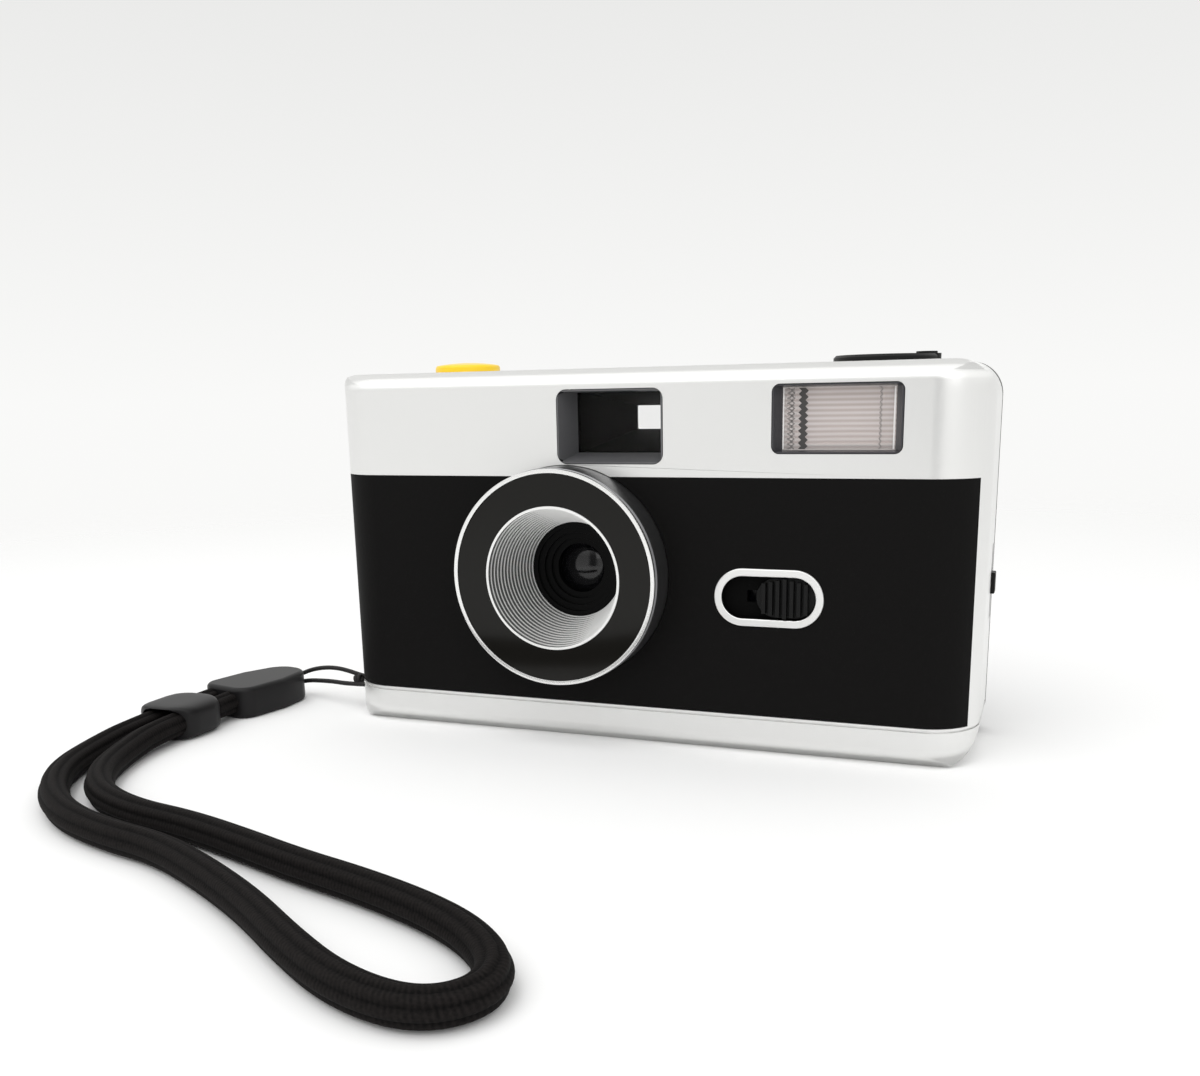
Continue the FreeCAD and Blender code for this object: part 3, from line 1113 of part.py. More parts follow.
def flash_switch():
    """Sliding flash switch and its bezel."""
    gap = s.fit_gap * 2
    stem_w = as_size(2.4)
    stem_x = around(switch_knob_x, stem_w)
    neck = stadium(s.switch_x, s.switch_z, switch_hole_w - gap, switch_hole_h - gap,
                   (front, inner_front + 0.4))
    brim = stadium(s.switch_x, s.switch_z, s.switch_w, s.switch_h, (front - s.switch_lip, front))
    well = stadium(s.switch_x, s.switch_z, switch_well_w, switch_well_h, (front - OVER, switch_floor_y))
    slit = block((stem_x[0] - s.switch_travel - s.slide_gap, stem_x[1] + s.slide_gap),
                 (switch_floor_y - 0.1, inner_front + OVER), around(s.switch_z, 2.0))
    node("switch_bezel", cut(fuse(neck, brim), well, slit))
    base_y = (front + 0.4, switch_floor_y - 0.15)
    rib_y = (front - s.switch_lip - s.switch_knob_out, base_y[0] + 0.1)
    ribs_each_side = 3
    pitch = (s.switch_knob_w - 1.6) / (ribs_each_side * 2 + 1)
    ribs = [block(around(switch_knob_x + pitch * step, pitch * 0.55), rib_y,
                  around(s.switch_z, s.switch_knob_h - abs(step) * 0.5))
            for step in range(-ribs_each_side, ribs_each_side + 1)]
    node("flash_switch", fuse(
        stadium(switch_knob_x, s.switch_z, s.switch_knob_w, s.switch_knob_h, base_y), *ribs,
        block(stem_x, (base_y[1] - 0.1, inner_front + 1.2), around(s.switch_z, 1.6)),
        block(around(switch_knob_x, 6.0), (inner_front + 0.6, inner_front + 1.2), around(s.switch_z, 5.0))))


def back_door():
    """Hinged back with its window, pressure plate, spring, seals and latch."""
    rib_x = wider(rail_x, -1.5)
    rib_y = (door_front - s.rib_out, door_front + 0.1)
    solids = [block((door_left, s.door_right), (door_front, back), (s.door_low, s.door_high)),
              block(rib_x, rib_y, (s.door_low + 0.9, s.door_low + 1.7)),
              block(rib_x, rib_y, (s.door_high - 1.0, s.door_high - 0.3))]
    for span in knuckle_spans:
        solids.append(rod("Z", hinge, s.knuckle_r, span))
        solids.append(block((s.hinge_x, door_left + 0.3), (door_front, s.hinge_y + 0.3), span))
    for z in tongue_places:
        solids.append(block(tongue_x, (rail_front + 0.6, door_front + 0.1), (z, z + s.tongue_h)))
    pane_x = around(s.chamber_x, s.pane_w)
    pane_z = around(s.pane_z, s.pane_h)
    pane_y = (door_front, door_front + s.pane_t)
    node("rear_door", cut(fuse(*solids), block(pane_x, (door_front - 1, back + 1), pane_z),
                          block(wider(pane_x, s.pane_rim), (door_front - 0.1, pane_y[1]),
                                wider(pane_z, s.pane_rim)),
                          rod("Z", hinge, s.pin_r + s.run_gap, (s.door_low, s.door_high))))
    rim = s.pane_rim - s.run_gap
    node("door_window", block(wider(pane_x, rim), pane_y, wider(pane_z, rim)))
    node("door_hinge_pin", rod("Z", hinge, s.pin_r, (knuckle_spans[0][0] - 1.0, knuckle_spans[1][1] + 1.0)))

    plate_y = (s.film_y + s.press_gap, s.film_y + s.press_gap + s.press_t)
    notch = block((s.lens_x - s.press_w, s.sprocket_x + 7.8), wider(plate_y, 1),
                  (s.sprocket_z - 0.8, s.lens_z + s.press_h))
    pressing = block(around(s.lens_x, s.press_w), plate_y, around(s.lens_z, s.press_h))
    node("pressure_plate", cut(pressing, notch))
    foot_y = door_front - s.leaf_t
    peak_y = plate_y[1] + 0.05
    near = [(s.lens_x + x, foot_y if share == 0 else peak_y)
            for x, share in ((-10.5, 0), (-5.5, 0), (-2.2, 1), (2.2, 1), (5.5, 0), (10.5, 0))]
    far = [(x, y + s.leaf_t) for x, y in reversed(near)]
    node("pressure_spring", plate("XY", near + far, around(s.lens_z, 8.0)))
    strip_y = (inner_back - 1.6, inner_back)
    node("light_seal", group(
        block((s.lens_x - 20.5, s.door_right - 4.0), strip_y, (door_z[1] + 0.1, door_z[1] + 0.9)),
        block((s.hinge_x + 5.2, s.door_right - 4.0), strip_y, (door_z[0] - 1.1, door_z[0] - 0.1))))

    latch_x = (inner_side - 0.2 - s.latch_t, inner_side - 0.2)
    slot_z = around(s.latch_z, s.latch_slot_h)
    knob_low = slot_z[0] + s.latch_travel + 0.3
    latch = [block(latch_x, (s.latch_y - 3.0, split - 0.2), wider(slot_z, 2.5)),
             block(latch_x, (split - 2.0, split - 0.2), (tongue_places[0], tongue_places[1] + s.tongue_h)),
             block((latch_x[1] - 0.2, side + s.latch_out),
                   wider(around(s.latch_y, s.latch_slot_w), -s.slide_gap),
                   (knob_low, knob_low + s.latch_knob_h))]
    finger_y = rail_front + 2.2
    for z in tongue_places:
        finger_z = (z, z + s.tongue_h)
        latch.append(block((latch_x[0], latch_x[1] - 0.3), (split - 0.4, finger_y), finger_z))
        latch.append(block((tongue_x[1] + 0.3, latch_x[0] + 0.2), (rail_front + 1.0, finger_y), finger_z))
    node("door_latch", fuse(*latch))


def base_parts():
    """Battery door and contacts, strap bar and screws."""
    flap_z = (as_size(0.2), s.flap_t + 0.2)
    flap_end = bay_y[1] - s.flap_room
    node("battery_door", fuse(
        block(wider(bay_x, -0.1), (bay_y[0] + 0.3, flap_end), flap_z),
        block(flap_knuckle_x, (flap_end - 0.1, s.flap_hinge_y), (flap_z[0] + 0.05, s.flap_hinge_z + 0.6)),
        rod("X", flap_hinge, s.flap_knuckle_r, flap_knuckle_x),
        rod("X", flap_hinge, s.flap_pin_r, wider(flap_knuckle_x, 2.0))))
    contact_y = around(s.battery_y, 6.0)
    contact_z = around(s.battery_z, 7.0)
    node("battery_contacts", group(block((bay_x[0], bay_x[0] + 0.4), contact_y, contact_z),
                                   block((bay_x[1] - 0.4, bay_x[1]), contact_y, contact_z)))
    node("strap_lug", rod("Z", (lug_x, s.lug_y), s.lug_r, lug_span))
    head_z = (as_size(0), s.screw_t)
    shank_z = (s.screw_t, s.screw_t + s.screw_l)
    node("case_screws", group(*[screw("Z", centre, head_z, shank_z) for centre in foot_places + heel_places]))


def tangent_path(points, share=0.45):
    """Straight runs joined by arcs that touch both; returns the wire and the radii."""
    edges = []
    radii = []
    start = points[0]
    for before, corner, after in zip(points, points[1:], points[2:]):
        arrive = corner - before
        leave = after - corner
        reach = share * min(arrive.Length, leave.Length)
        arrive.normalize()
        leave.normalize()
        half_turn = arrive.getAngle(leave) / 2
        radius = reach / math.tan(half_turn)
        inward = leave - arrive
        inward.normalize()
        middle = corner + inward * (radius / math.cos(half_turn) - radius)
        edges.append(Part.LineSegment(start, corner - arrive * reach).toShape())
        edges.append(Part.Arc(corner - arrive * reach, middle, corner + leave * reach).toShape())
        radii.append(radius)
        start = corner + leave * reach
    edges.append(Part.LineSegment(start, points[-1]).toShape())
    return Part.Wire(edges), radii


def cord(name, route, diameter):
    """A round cord along its route, drawn from the route's first point."""
    origin = Vector(*route[0])
    points = [Vector(*point) - origin for point in route]
    wire, radii = tangent_path(points)
    ring = Part.Wire([Part.Circle(points[0], points[1] - points[0], diameter / 2).toShape()])
    solid = wire.makePipeShell([ring], True, False)
    shown_radii = " ".join("%.1f" % radius for radius in radii)
    expected = math.pi * diameter ** 2 / 4 * wire.Length
    print("%s: length %.1f, radii %s" % (name, wire.Length, shown_radii))
    print("%s: volume %.1f, section by length %.1f" % (name, solid.Volume, expected))
    feature = doc.addObject("Part::Feature", name)
    feature.Shape = solid
    feature.Placement = Placement(origin, Rotation())
    node(name, feature)


def strap():
    """Wrist strap: cord loop, slider, end cap and the thread to the strap bar."""
    lie = s.strap_d.value / 2 + 0.05
    a = s.strand_a.value
    b = s.strand_b.value
    level = s.strand_z.value
    end_y = s.strand_y.value
    cord("strap_loop", [
        (a, end_y, level), (a, -43.0, level), (-84.2, -54.8, lie), (-80.6, -65.2, lie),
        (-73.3, -74.6, lie), (-63.3, -81.6, lie), (-51.8, -85.4, lie), (-41.0, -87.3, lie),
        (-29.5, -92.4, lie), (-18.0, -98.6, lie), (-7.5, -105.6, lie), (1.6, -110.9, lie),
        (10.0, -113.2, lie), (15.1, -111.9, lie), (17.8, -107.7, lie), (16.5, -102.6, lie),
        (11.0, -97.2, lie), (3.0, -92.9, lie), (-8.5, -89.0, lie), (-20.5, -86.0, lie),
        (-32.0, -82.2, lie), (-43.5, -78.9, lie), (-55.0, -77.2, lie), (-65.3, -72.8, lie),
        (-73.0, -65.0, lie), (-77.8, -54.6, lie), (b, -43.2, level), (b, end_y, level)],
         s.strap_d.value)

    room = s.strap_d + s.soft_gap * 2
    mid_x = (s.strand_a + s.strand_b) / 2
    slider = rounded(around(mid_x, s.slider_w), around(s.slider_y, s.slider_l), (as_size(0), s.slider_h),
                     "Z", s.slider_edge, kind="Chamfer")
    soften(slider, "Y", as_size(0.5))
    node("strap_slider", cut(slider, stadium(mid_x, s.strand_z, s.strand_b - s.strand_a + room, room,
                                             around(s.slider_y, s.slider_l * 2))))

    half_l = s.cap_l / 2
    half_w = s.cap_w / 2
    tip = s.cap_tip_w / 2
    shoulder = as_size(1.0)
    cap = plate("XY", [
        (-half_w + 1.2, -half_l), (half_w - 1.2, -half_l), (half_w, -half_l + 1.8), (half_w, shoulder),
        (tip, half_l - 1.5), (tip - 1.5, half_l), (-tip + 1.5, half_l), (-tip, half_l - 1.5),
        (-half_w, shoulder), (-half_w, -half_l + 1.8)], (as_size(0), s.cap_h))
    place(cap, s.cap_x, s.cap_y, 0)
    bind(cap, "Placement.Rotation.Angle", s.cap_turn)
    sockets = [rod("Y", (x, s.strand_z), s.strap_d / 2 + s.run_gap, (s.strand_y - 12, s.strand_y))
               for x in (s.strand_a, s.strand_b)]
    pocket = block((s.cap_x + 1.4, s.cap_x + 3.5), (s.cap_y + 7.5, s.cap_y + 12),
                   (as_size(2.2), as_size(5.3)))
    node("strap_end_cap", cut(cap, *sockets, pocket))

    x = lug_x.value
    y = s.lug_y.value
    z = s.lug_z.value
    corner = (s.lug_r.value + s.thread_d.value / 2 + s.soft_gap.value) / math.cos(math.pi / 6)
    turns = [(x + corner * math.cos(angle), y + corner * math.sin(angle), z - 0.1 * number)
             for number, angle in enumerate([math.pi / 2, math.pi / 6, -math.pi / 6, -math.pi / 2])]
    cord("strap_thread", [
        (-78.2, -5.2, 4.2), (-77.3, -3.3, 4.6), (-74.8, -2.9, 5.6), (-71.0, -4.0, 6.5), (-67.2, -5.4, 7.0),
        (-63.8, -6.4, 6.9), (-60.6, -6.6, 6.2)] + turns + [
        (-60.6, -8.1, 4.7), (-63.8, -7.6, 4.5), (-67.4, -6.6, 4.4), (-71.2, -5.3, 4.0), (-74.9, -3.6, 3.4),
        (-77.1, -3.5, 3.0), (-78.2, -5.1, 2.9)], s.thread_d.value)


front_cover()
front_panel()
rear_frame()
chassis()
lens_group()
shutter()
film_transport()
rewind()
viewfinder()
flash()
flash_switch()
back_door()
base_parts()
strap()
doc.recompute()

faults = [thing.Name for thing in doc.Objects if "Invalid" in thing.State or "Error" in thing.State]
faults += [thing.Label for thing in nodes if thing.Shape.isNull() or not thing.Shape.isValid()]
if faults:
    raise SystemExit("These did not build: " + ", ".join(faults))
for thing in nodes:
    thing.Shape.exportStep("parts/%s.step" % thing.Label)
print("%d pieces" % len(nodes))
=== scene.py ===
# %% [markdown]
# # A reusable film camera with its wrist strap
# The CAD model already holds every piece at its true size: the silver cover, the black panel, the lens,
# the flash, the film parts and the strap. This notebook dresses that model. Pieces that look right as
# they are only get a finish. Pieces whose edges catch light get a copy with soft edges, and a few, such
# as the ribbed lens cone and the woven strap, are modelled again. All lengths are in metres, as in the
# CAD frame, and `MM` turns millimetres into metres.

# %% Load the CAD frame
import json
import math
import bmesh
import bpy
from mathutils import Matrix, Vector


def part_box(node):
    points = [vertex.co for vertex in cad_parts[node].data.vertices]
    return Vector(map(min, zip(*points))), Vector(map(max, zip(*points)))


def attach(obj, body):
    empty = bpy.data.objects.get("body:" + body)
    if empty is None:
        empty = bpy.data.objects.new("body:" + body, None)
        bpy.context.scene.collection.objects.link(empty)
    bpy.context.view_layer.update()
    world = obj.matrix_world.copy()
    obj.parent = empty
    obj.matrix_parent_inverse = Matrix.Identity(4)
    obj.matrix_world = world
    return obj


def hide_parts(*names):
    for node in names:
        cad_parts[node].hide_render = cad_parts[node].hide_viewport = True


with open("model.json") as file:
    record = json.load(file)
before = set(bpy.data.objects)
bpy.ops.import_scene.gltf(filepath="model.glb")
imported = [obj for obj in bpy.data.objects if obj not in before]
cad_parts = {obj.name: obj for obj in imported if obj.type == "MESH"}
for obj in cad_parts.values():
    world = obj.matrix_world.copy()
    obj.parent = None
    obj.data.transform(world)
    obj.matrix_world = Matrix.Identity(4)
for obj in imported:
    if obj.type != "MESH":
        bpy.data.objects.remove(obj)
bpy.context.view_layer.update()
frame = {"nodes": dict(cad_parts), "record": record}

MM = 0.001
scene = bpy.context.scene
scene.view_settings.view_transform = "Standard"


def mm(*values):
    """A point or size in millimetres, as metres."""
    return Vector(values) * MM


def new_object(name, data):
    made = bpy.data.objects.new(name, data)
    scene.collection.objects.link(made)
    return made


# %% [markdown]
# ## The viewpoint
# The picture was taken from close by, to the right of the camera and a little above it, so the near
# end of the body looks taller than the far one. A camera object could be placed by eye, but its place
# and turn were worked out from the body's corners instead. The optical axis lies below the middle of the
# frame, and a small vertical shift brings the picture up, as it does with a view camera.

# %% Camera
YAW, PITCH, ROLL = 0.37338, 0.23159, -0.020186
FOCAL_PIXELS = 1170.79
IMAGE_WIDTH, IMAGE_HEIGHT = 1200.0, 1076.0
AXIS_PIXEL = (599.98, 667.81)
SENSOR_WIDTH = 36.0
look = Vector((-math.sin(YAW) * math.cos(PITCH), math.cos(YAW) * math.cos(PITCH), -math.sin(PITCH)))
level_right = Vector((math.cos(YAW), math.sin(YAW), 0.0))
level_up = level_right.cross(look)
camera_right = math.cos(ROLL) * level_right + math.sin(ROLL) * level_up
camera_up = math.cos(ROLL) * level_up - math.sin(ROLL) * level_right
lens_data = bpy.data.cameras.new("photo_camera")
lens_data.sensor_width = SENSOR_WIDTH
lens_data.lens = FOCAL_PIXELS / IMAGE_WIDTH * SENSOR_WIDTH
lens_data.shift_x = (IMAGE_WIDTH / 2 - AXIS_PIXEL[0]) / IMAGE_WIDTH
lens_data.shift_y = (AXIS_PIXEL[1] - IMAGE_HEIGHT / 2) / IMAGE_WIDTH
lens_data.clip_start = 0.01
photo_camera = new_object("photo_camera", lens_data)
turn = Matrix((camera_right, camera_up, -look)).transposed().to_4x4()
photo_camera.matrix_world = Matrix.Translation(mm(68.19, -203.09, 60.92)) @ turn
scene.camera = photo_camera
print("focal length %.2f mm, vertical shift %.3f" % (lens_data.lens, lens_data.shift_y))

# %% [markdown]
# ## Writing finishes as expressions
# A finish is a small network of nodes. Wiring them one by one is long to read, so two helpers keep it
# short. `Value` wraps the output of a node, and plain `+`, `-`, `*` and `/` on it add Math nodes. `Finish`
# is a material with one method for every node: its type, its settings, and what goes into it. The kinds
# of node that come up often have a short method of their own, which calls that one.

# %% Helpers for finishes


class Value:
    """A number that varies over a surface."""

    def __init__(self, finish, socket):
        self.finish = finish
        self.socket = socket

    def __add__(self, other):
        return self.finish.maths("ADD", self, other)

    def __radd__(self, other):
        return self.finish.maths("ADD", other, self)

    def __sub__(self, other):
        return self.finish.maths("SUBTRACT", self, other)

    def __rsub__(self, other):
        return self.finish.maths("SUBTRACT", other, self)

    def __mul__(self, other):
        return self.finish.maths("MULTIPLY", self, other)

    def __rmul__(self, other):
        return self.finish.maths("MULTIPLY", other, self)

    def __truediv__(self, other):
        return self.finish.maths("DIVIDE", self, other)

    def __rtruediv__(self, other):
        return self.finish.maths("DIVIDE", other, self)


class Finish:
    """A material, or the world, whose nodes are added one after the other."""

    def __init__(self, name, owner=None):
        self.owner = owner or bpy.data.materials.new(name)
        self.owner.use_nodes = True
        self.tree = self.owner.node_tree
        self.tree.nodes.clear()

    def node(self, kind, settings=None, inputs=None, output=0):
        """Adds a node: settings first, then the values or links of its inputs."""
        made = self.tree.nodes.new(kind)
        for name, setting in (settings or {}).items():
            setattr(made, name, setting)
        for name, value in (inputs or {}).items():
            if isinstance(value, Value):
                self.tree.links.new(value.socket, made.inputs[name])
            else:
                made.inputs[name].default_value = value
        return Value(self, made.outputs[output]) if made.outputs else None

    def maths(self, operation, *values):
        return self.node("ShaderNodeMath", {"operation": operation}, dict(enumerate(values)))

    def vectors(self, operation, *values, output=0):
        return self.node("ShaderNodeVectorMath", {"operation": operation}, dict(enumerate(values)), output)

    def ranged(self, value, low, high, to_low, to_high, blend="LINEAR"):
        """Takes a value from one range to another, and stops at its ends."""
        return self.node("ShaderNodeMapRange", {"interpolation_type": blend}, {
            "Value": value, "From Min": low, "From Max": high, "To Min": to_low, "To Max": to_high})

    def noise(self, place, scale, detail):
        return self.node("ShaderNodeTexNoise", {}, {"Vector": place, "Scale": scale, "Detail": detail}, "Fac")

    def mixed(self, share, first, second):
        """A colour between two others."""
        colours = {0: share, 6: (*first, 1.0), 7: (*second, 1.0)}
        return self.node("ShaderNodeMix", {"data_type": "RGBA"}, colours, 2)

    def part(self, vector, axis):
        """One of the three numbers of a vector."""
        return self.node("ShaderNodeSeparateXYZ", {}, {0: vector}, axis)

    def object_place(self):
        return self.node("ShaderNodeTexCoord", output="Object")

    def bump(self, height, strength, depth):
        inputs = {"Height": height, "Strength": strength, "Distance": depth * MM}
        return self.node("ShaderNodeBump", {}, inputs)

    def principled(self, colour, roughness, gloss=0.5, **more):
        """The surface shader: its colour, roughness, mirror strength and any other inputs."""
        colour = (*colour, 1.0) if isinstance(colour, tuple) else colour
        inputs = {"Base Color": colour, "Roughness": roughness, "Specular IOR Level": gloss}
        inputs.update({key.replace("_", " "): value for key, value in more.items()})
        return self.node("ShaderNodeBsdfPrincipled", {}, inputs)

    def transparent(self, colour=(1.0, 1.0, 1.0)):
        return self.node("ShaderNodeBsdfTransparent", {}, {"Color": (*colour, 1.0)})

    def between(self, share, first, second):
        """A shader between two others."""
        return self.node("ShaderNodeMixShader", {}, {0: share, 1: first, 2: second})

    def end(self, shader):
        self.node("ShaderNodeOutputMaterial", {}, {"Surface": shader})
        return self.owner


def plain(name, colour, roughness, metallic=0.0, **more):
    """A finish that is the same all over."""
    finish = Finish(name)
    return finish.end(finish.principled(colour, roughness, Metallic=metallic, **more))


print("helpers ready")

# %% [markdown]
# ## Helpers for pieces
# The CAD meshes are loose triangles. A copy is merged, its flat faces are joined again, and chosen edges
# are rounded with the bevel operator, the widest first. Real moulded parts always have such edges, and
# they show as thin bright lines. Shading needs care too: if a corner's normal is a plain average, a large
# flat face looks dented beside a narrow rounded edge. So each corner takes its normal from the faces that
# meet there, weighted by their area, and the flat faces stay flat.

# %% Helpers for pieces
BODY_OF = {name: body for body, members in frame["record"]["behaviour"]["bodies"].items()
           for name in members}
MERGE = 0.001 * MM
LENS_X, LENS_Z = -11.4, 30.0


def steady_normals(mesh, smooth_angle, field=None):
    """Corner normals that follow the larger faces, with creases, or that a given field works out."""
    meets = [[] for _ in mesh.vertices]
    for polygon in mesh.polygons:
        for index in polygon.vertices:
            meets[index].append((polygon.normal, polygon.area))
    crease = math.cos(math.radians(smooth_angle))
    corner_normals = []
    for polygon in mesh.polygons:
        for index in polygon.vertices:
            given = field(mesh.vertices[index].co, polygon) if field else None
            if given:
                corner_normals.append(given)
                continue
            total = Vector()
            for normal, area in meets[index]:
                if normal.dot(polygon.normal) > crease:
                    total += normal * area
            corner_normals.append(total.normalized())
    mesh.normals_split_custom_set(corner_normals)


def show(name, bm, material, body, smooth_angle=35.0, field=None):
    """Turns a bmesh into a finished piece that rides on a body."""
    for face in bm.faces:
        face.smooth = True
    mesh = bpy.data.meshes.new(name)
    bm.to_mesh(mesh)
    bm.free()
    steady_normals(mesh, smooth_angle, field)
    mesh.materials.append(material)
    piece = new_object(name, mesh)
    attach(piece, body)
    return piece


def merged_copy(node):
    """A CAD node's mesh as one closed skin with its flat faces joined."""
    bm = bmesh.new()
    bm.from_mesh(frame["nodes"][node].data)
    bmesh.ops.remove_doubles(bm, verts=bm.verts, dist=MERGE)
    bmesh.ops.dissolve_limit(bm, angle_limit=math.radians(0.5), verts=bm.verts, edges=bm.edges,
                             use_dissolve_boundaries=False)
    return bm


def middle(edge):
    """The middle of an edge in millimetres."""
    return (edge.verts[0].co + edge.verts[1].co) / 2 / MM


def turn_of(edge):
    """The angle between the two faces of an edge, in degrees."""
    return math.degrees(edge.calc_face_angle(0.0)) if len(edge.link_faces) == 2 else 0.0


def second_finish(piece, material, picked):
    """Gives faces another finish, picked by their middle in millimetres and their normal."""
    piece.data.materials.append(material)
    faces = [face for face in piece.data.polygons if picked(face.center / MM, face.normal)]
    for face in faces:
        face.material_index = 1
    return len(faces)


def face_outwards(bm):
    bmesh.ops.recalc_face_normals(bm, faces=bm.faces)


def verts_of(made):
    """The points among what an operator made."""
    return [item for item in made["geom"] if isinstance(item, bmesh.types.BMVert)]


def pull_ring(bm, ring):
    """Pulls a ring of points out to a new ring, with faces between them."""
    inside = set(ring)
    edges = [edge for edge in {edge for vert in ring for edge in vert.link_edges}
             if edge.verts[0] in inside and edge.verts[1] in inside]
    return verts_of(bmesh.ops.extrude_edge_only(bm, edges=edges))


def mesh_of(curve):
    """The mesh of a curve or a text."""
    helper = new_object("helper", curve)
    bpy.context.view_layer.update()
    mesh = bpy.data.meshes.new_from_object(helper)
    bpy.data.objects.remove(helper)
    return mesh


def round_edges(bm, picked, width, segments=3, clamp=True):
    """Rounds the edges that a test picks, and says how many there were."""
    chosen = [edge for edge in bm.edges if picked(edge)]
    if chosen:
        bmesh.ops.bevel(bm, geom=chosen, offset=width * MM, offset_type="OFFSET", segments=segments,
                        profile=0.5, affect="EDGES", material=-1, clamp_overlap=clamp)
    return len(chosen)


def soft_copy(node, material, width, segments, sharper, picked=lambda place: True):
    """A copy of a CAD node with soft edges, standing for it. Edges are picked by their middles."""
    bm = merged_copy(node)
    count = round_edges(bm, lambda edge: turn_of(edge) > sharper and picked(middle(edge)), width, segments)
    piece = show(node + "_soft", bm, material, BODY_OF[node])
    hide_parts(node)
    print("%s: %d edges rounded" % (node, count))
    return piece


def turned(name, node, profile, material, steps=128, round_by=0.0, closed=True):
    """Turns an outline of (radius, place) in millimetres about the lens axis. An open one ends on it."""
    bm = bmesh.new()
    verts = [bm.verts.new(mm(LENS_X + radius, place, LENS_Z)) for radius, place in profile]
    first = 0 if closed else 1
    edges = [bm.edges.new((verts[number - 1], verts[number])) for number in range(first, len(verts))]
    bmesh.ops.spin(bm, geom=verts + edges, cent=mm(LENS_X, 0.0, LENS_Z), axis=(0, 1, 0), angle=math.tau,
                   steps=steps, use_merge=True, use_duplicate=False)
    bmesh.ops.remove_doubles(bm, verts=bm.verts, dist=MERGE)
    face_outwards(bm)
    if round_by:
        round_edges(bm, lambda edge: turn_of(edge) > 40, round_by, 2, clamp=False)
    piece = show(name, bm, material, BODY_OF[node])
    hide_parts(node)
    return piece


print("bodies:", sorted(set(BODY_OF.values())))

# %% [markdown]
# ## The wrist strap: a woven cord
# The strap is one length of soft woven cord, 4.6 mm thick, laid as a loop. Its braid stands in long
# ribs with very fine cross stitches. A plain round tube would look like a cable. So a circle with shallow
# lobes is carried along the route, ring by ring, and every corner gets a place on a UV map: once round
# for u, and the length along the cord for v. The stitches are drawn on that map, so they follow each
# bend. The route itself is one open spline with the CAD model's points.

# %% Route of the strap
STRAP_D = 4.6
LIE, CAP_Z = STRAP_D / 2 + 0.05, 3.2
on_table = [
    (-84.2, -54.8), (-80.6, -65.2), (-73.3, -74.6), (-63.3, -81.6), (-51.8, -85.4), (-41.0, -87.3),
    (-29.5, -92.4), (-18.0, -98.6), (-7.5, -105.6), (1.6, -110.9), (10.0, -113.2), (15.1, -111.9),
    (17.8, -107.7), (16.5, -102.6), (11.0, -97.2), (3.0, -92.9), (-8.5, -89.0), (-20.5, -86.0),
    (-32.0, -82.2), (-43.5, -78.9), (-55.0, -77.2), (-65.3, -72.8), (-73.0, -65.0), (-77.8, -54.6)]
strap_points = [(-85.2, -20.0, CAP_Z), (-85.2, -43.0, CAP_Z)] + [(x, y, LIE) for x, y in on_table]
strap_points += [(-80.15, -43.2, CAP_Z), (-80.15, -20.0, CAP_Z)]


def spline_curve(name, points):
    """One open spline of order 3 that starts and ends on its end points."""
    curve = bpy.data.curves.new(name, "CURVE")
    curve.dimensions = "3D"
    spline = curve.splines.new("NURBS")
    spline.points.add(len(points) - 1)
    for place, point in zip(spline.points, points):
        place.co = (*mm(*point), 1.0)
    spline.order_u = 3
    spline.use_endpoint_u = True
    spline.resolution_u = 16
    return curve


def length_of(line):
    return sum((b - a).length for a, b in zip(line, line[1:]))


def spline_line(name, points, pitch):
    """Points along that spline, evenly spaced."""
    raw = [vertex.co.copy() for vertex in mesh_of(spline_curve(name, points)).vertices]
    total = length_of(raw)
    count = round(total / pitch)
    line = [raw[0]]
    walked = 0.0
    for a, b in zip(raw, raw[1:]):
        step = (b - a).length
        while step > 0 and len(line) < count and walked + step >= len(line) * total / count:
            line.append(a.lerp(b, (len(line) * total / count - walked) / step))
        walked += step
    line.append(raw[-1])
    return line


strap_line = spline_line("strap_route", strap_points, 0.9 * MM)
print("strap: %d rings, %.1f mm long" % (len(strap_line), length_of(strap_line) / MM))

# %% The strap's ribbed skin
RIBS = 8
RIB_DEPTH = 0.13
SIDES = RIBS * 8
STITCHES, STITCH_LEAN, RIB_SHIFT = 24.0, 0.3, 0.37


def ribbed_tube(line, radius):
    """Carries a lobed circle along a line, with a UV map that goes round and along it."""
    bm = bmesh.new()
    around = bm.verts.layers.float.new("around")
    along = bm.verts.layers.float.new("along")
    ring = bmesh.ops.create_circle(bm, cap_ends=False, radius=1.0, segments=SIDES)["verts"]
    for number, vert in enumerate(ring):
        vert[around] = number
    travelled = 0.0
    up = Vector((0, 0, 1))
    for step, centre in enumerate(line):
        ahead = (line[min(step + 1, len(line) - 1)] - line[max(step - 1, 0)]).normalized()
        side = ahead.cross(up).normalized()
        top = side.cross(ahead)
        if step:
            travelled += (centre - line[step - 1]).length
            ring = pull_ring(bm, ring)
        for vert in ring:
            angle = vert[around] / SIDES * math.tau
            reach = radius * (1.0 - RIB_DEPTH * (1.0 - abs(math.cos(angle * RIBS / 2))))
            vert.co = centre + side * (reach * math.cos(angle)) + top * (reach * math.sin(angle))
            vert[along] = travelled
    face_outwards(bm)
    uv = bm.loops.layers.uv.new("cord_map")
    for face in bm.faces:
        places = [loop.vert[around] for loop in face.loops]
        wraps = max(places) - min(places) > SIDES / 2
        for loop, place in zip(face.loops, places):
            turn_share = (SIDES if wraps and place < SIDES / 2 else place) / SIDES
            loop[uv].uv = (turn_share, loop.vert[along] / (2 * math.pi * radius))
    return bm


